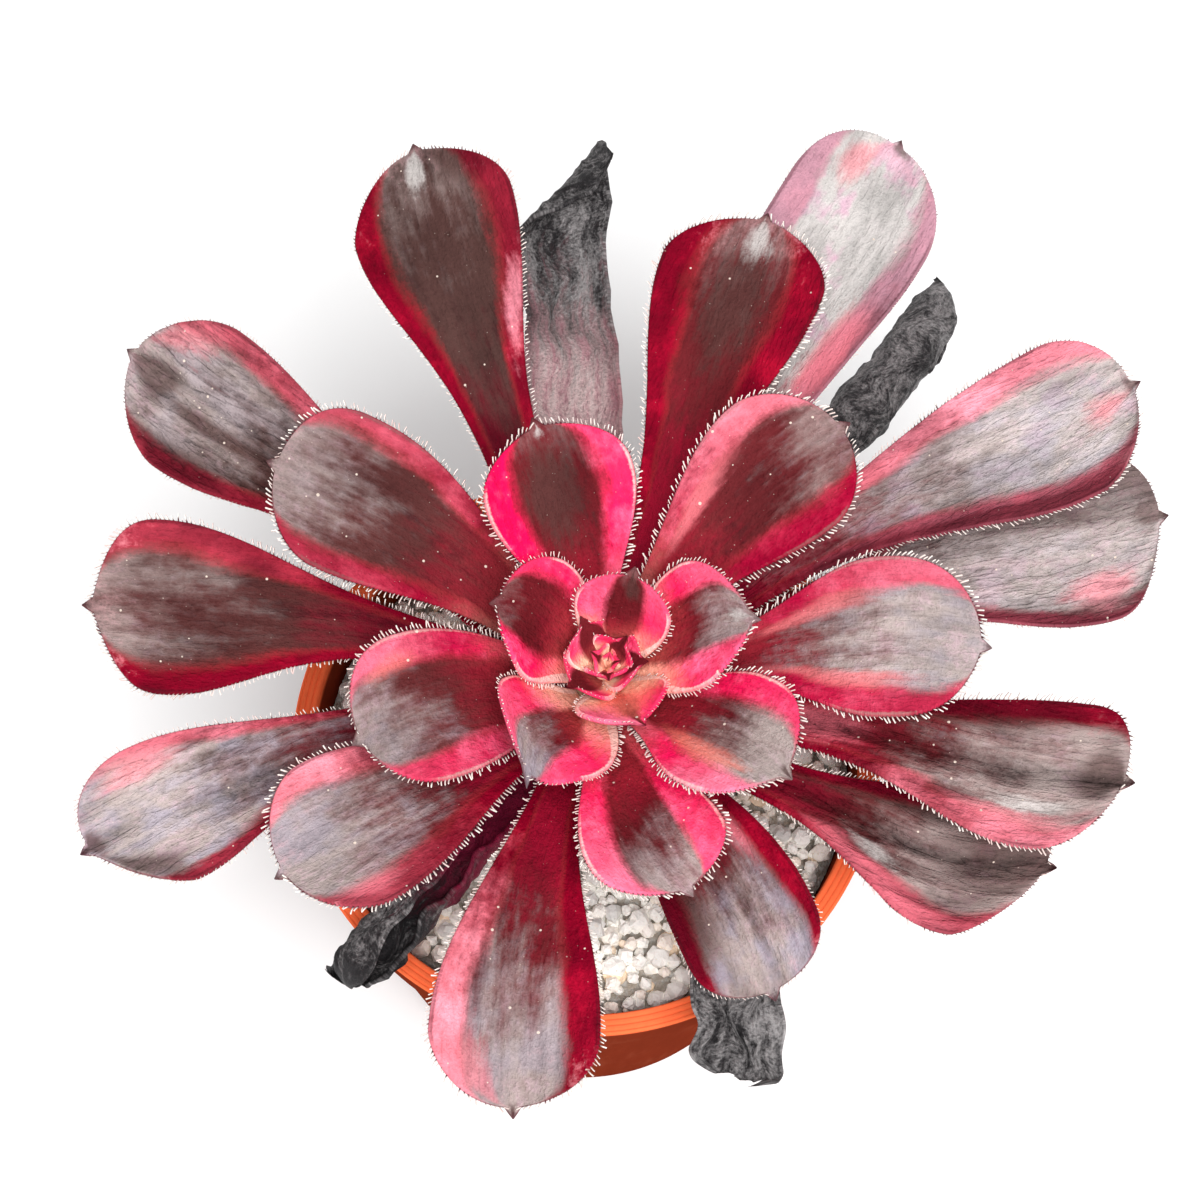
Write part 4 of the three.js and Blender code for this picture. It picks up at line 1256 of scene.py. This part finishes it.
class AEONIUM_OT_stem(bpy.types.Operator):
    """Builds the stem with its leaf scars"""

    bl_idname = "aeonium.stem"
    bl_label = "Stem"

    def execute(self, context):
        finish = bark_finish(context.scene.aeonium_gravel)
        dome = np.linspace(SHOULDER, CROWN - 0.3, 20)[1:]
        heights = np.concatenate([np.linspace(STEM_FOOT, SHOULDER, 90), dome])
        points, marks = [], []
        for z in heights:
            level = z / SCAR_ROWS
            shift = 0.5 * (math.floor(level) % 2)
            up = abs(level % 1 - 0.5) * 2
            for k, (x, y, _) in enumerate(circle(1, z, STEM_SIDES)):
                across = abs((k / STEM_SIDES * SCARS_ROUND + shift) % 1 - 0.5) * 2
                mark = max(0.0, 1 - (across**2 * 2.2 + up**2 * 3.2))
                rough = noise.noise(Vector((x * 2, y * 2, z * 0.6)))
                radius = stem_radius(z) + SCAR_HEIGHT * math.sqrt(mark) + BARK_HEIGHT * rough
                points.append(stem_middle(z) + (radius * x, radius * y, 0))
                marks.append(mark)
        shape = (len(heights), STEM_SIDES)
        stem = new_piece("woody_stem", *closed_grid(np.reshape(points, (*shape, 3))[:, ::-1]), finish)
        give_grids(stem, "scar", np.reshape(marks, shape)[:, ::-1], 0, 0)
        settle(stem, "stem_bark", "stem")
        return {"FINISHED"}


# ---- Leaves and hairs ----


class AEONIUM_OT_leaves(bpy.types.Operator):
    """Builds the living leaves of the rosette"""

    bl_idname = "aeonium.leaves"
    bl_label = "Leaves"

    def execute(self, context):
        finish = leaf_finish(context.scene.aeonium_leaf)
        for k, leaf in enumerate(LEAVES, 1):
            piece = living_leaf(f"rosette_leaf_{k:02d}", leaf, k, finish)
            slot = "leaf_young" if k > MATURE_LEAVES else "leaf_mature"
            settle(piece, slot, f"leaf_{k:02d}")
        return {"FINISHED"}


class AEONIUM_OT_heart(bpy.types.Operator):
    """Builds the tiny leaves that close over the growing tip"""

    bl_idname = "aeonium.heart"
    bl_label = "Heart"

    def execute(self, context):
        finish = bpy.data.materials["velvet_leaf"]
        draws = enumerate(HEART_LEAVES, HEART_DRAW)
        pieces = [living_leaf("heart", leaf, seed, finish, HEART_COLUMNS) for seed, leaf in draws]
        settle(join("heart_leaves", pieces), "leaf_young", "heart_bud")
        return {"FINISHED"}


def crumpled(grid, seed, height):
    """How far a dried leaf's skin stands off its plain form: soft pleats with sharp creases."""
    along, across = grid["along"], grid["across"]
    big = waves(along, across, seed, 1.8, 6)
    pleats = waves(along, across, seed + 3, 4.0, 1.6)
    creases = waves(along, across, seed + 5, 1.5, 2.2)
    fine = waves(along, across, seed + 7, 1.2, 0.9)
    total = big * 1.8 - np.abs(pleats) * 1.3 - np.abs(creases) * 1.5 + fine * 0.5
    return total * height * ramp(grid["s"], 0.03, 0.3)


class AEONIUM_OT_dried(bpy.types.Operator):
    """Builds the dried leaves below the rosette"""

    bl_idname = "aeonium.dried"
    bl_label = "Dried leaves"

    def execute(self, context):
        looks = context.scene.aeonium_dried
        finish = dried_finish(looks)
        for k, leaf in enumerate(DRIED_LEAVES, 1):
            seed, height = DRIED_DRAW + k, looks.crumple / MM * leaf.wrinkle
            points, grid = blade(leaf, DRIED_COLUMNS, stand=lambda grid: crumpled(grid, seed, height))
            piece = new_piece(f"withered_leaf_{k}", *closed_grid(points), finish)
            dress(piece, leaf, grid, seed)
            rise = crumpled(grid, seed, 1)
            give_grids(piece, "leaf_rise", rise, 0, 0)
            settle(piece, "leaf_dried", f"dried_leaf_{k}")
        return {"FINISHED"}


def margin_lines(leaf, start=0.14):
    """Both margins of a leaf as polylines from the neck to the point, with outward directions."""
    s = stations_of(leaf)
    s = s[(s > start) & (s < end_of_blade(leaf))]
    lines = []
    for side in (-1.0, 1.0):
        columns = np.array([(side * 0.9, 0.0, 0.5, 0.0), (side, 0.0, 0.5, 0.6)])
        points, _ = blade(leaf, s=s, columns=columns)
        line = points[:, 1]
        tangent = np.gradient(line, axis=0)
        tangent /= np.linalg.norm(tangent, axis=1)[:, None]
        out = line - points[:, 0]
        out -= tangent * np.sum(out * tangent, axis=1)[:, None]
        out /= np.maximum(np.linalg.norm(out, axis=1), 1e-6)[:, None]
        lines.append((line, tangent, out))
    return lines


def hair_share(leaf):
    """How long the hairs of a leaf are, as a share of those on the large ones."""
    young = between(0.4, 0.95, ramp(leaf.length, 0, 40))
    return young * between(0.6, 1, ramp(leaf.foot, 92, 99))


class AEONIUM_OT_hairs(bpy.types.Operator):
    """Grows the hairs along the margins of the living leaves, all but the three smallest of the heart"""

    bl_idname = "aeonium.hairs"
    bl_label = "Hairs"

    def execute(self, context):
        sizes = context.scene.aeonium_hair
        corners, edges, outward = [], [], []
        for leaf in LEAVES + HEART_LEAVES[:HAIRY_HEART_LEAVES]:
            for line, tangent, out in margin_lines(leaf):
                first = len(corners)
                corners += line.tolist()
                edges += [(first + k, first + k + 1) for k in range(len(line) - 1)]
                aim = out + tangent * sizes.slant
                outward += (aim * hair_share(leaf)).tolist()
        source = new_piece("margins", corners, [], edges=edges)
        give(source, "outward", outward)
        values = {"Spacing": sizes.spacing, "Length": sizes.reach, "Thickness": sizes.thickness}
        values.update(Spread=sizes.spread, Seed=sizes.seed)
        hairs = grown("leaf_hairs", source, hair_tree(hair_finish(sizes)), values)
        settle(hairs, "leaf_mature")
        return {"FINISHED"}


# ---- Stage ----


class AEONIUM_OT_stage(bpy.types.Operator):
    """Sets the floor, the lights and the camera"""

    bl_idname = "aeonium.stage"
    bl_label = "Stage"

    def execute(self, context):
        studio = context.scene.aeonium_studio
        scene = context.scene
        scene.view_settings.view_transform = "Standard"
        paper = Finish("floor", Roughness=0.9)
        paper.shader.inputs["Base Color"].default_value = studio.floor
        reach = FLOOR_REACH / MM
        corners = [(-reach, -reach, 0), (reach, -reach, 0), (reach, reach, 0), (-reach, reach, 0)]
        floor = new_piece("floor", corners, [(0, 1, 2, 3)], paper.material, smooth=False)

        sky = bpy.data.worlds.new("soft_light")
        sky.use_nodes = True
        light = sky.node_tree.nodes["Background"].inputs
        light["Color"].default_value = (1, 1, 1, 1)
        light["Strength"].default_value = studio.fill
        scene.world = sky
        lamp = bpy.data.lights.new("key_light", "AREA")
        lamp.energy = studio.key
        lamp.size = KEY_SIZE
        key = placed("key_light", lamp)
        key.location = KEY_PLACE
        aim = Vector(KEY_AIM) - key.location
        key.rotation_euler = aim.to_track_quat("-Z", "Y").to_euler()

        lens = bpy.data.cameras.new("camera")
        lens.lens = studio.lens
        lens.sensor_width = SENSOR_WIDTH
        tilt = Matrix.Rotation(math.pi / 2 - studio.elevation, 4, "X") @ Matrix.Rotation(studio.roll, 4, "Z")
        scene.camera = placed("camera", lens)
        scene.camera.matrix_world = Matrix.Translation(CAMERA_PLACE) @ tilt
        return {"FINISHED"}


STEPS = (
    AEONIUM_OT_stage,
    AEONIUM_OT_pot,
    AEONIUM_OT_mix,
    AEONIUM_OT_gravel,
    AEONIUM_OT_stem,
    AEONIUM_OT_leaves,
    AEONIUM_OT_heart,
    AEONIUM_OT_dried,
    AEONIUM_OT_hairs,
)


class AEONIUM_PT_panel(bpy.types.Panel):
    """Lists the pieces of the plant and their sizes"""

    bl_idname = "AEONIUM_PT_panel"
    bl_label = "Potted aeonium"
    bl_space_type = "VIEW_3D"
    bl_region_type = "UI"
    bl_category = "Aeonium"

    def draw(self, context):
        for step in STEPS:
            self.layout.operator(step.bl_idname)
        for key, group in GROUPS.items():
            box = self.layout.box()
            for name in group.__annotations__:
                box.prop(getattr(context.scene, key), name)


CLASSES = (*GROUPS.values(), *STEPS, AEONIUM_PT_panel)


def register():
    for kind in CLASSES:
        bpy.utils.register_class(kind)
    for key, group in GROUPS.items():
        setattr(bpy.types.Scene, key, bpy.props.PointerProperty(type=group))


def unregister():
    for key in GROUPS:
        delattr(bpy.types.Scene, key)
    for kind in reversed(CLASSES):
        bpy.utils.unregister_class(kind)


def main():
    register()
    for step in STEPS:
        family, name = step.bl_idname.split(".")
        getattr(getattr(bpy.ops, family), name)()


if __name__ == "__main__":
    main()
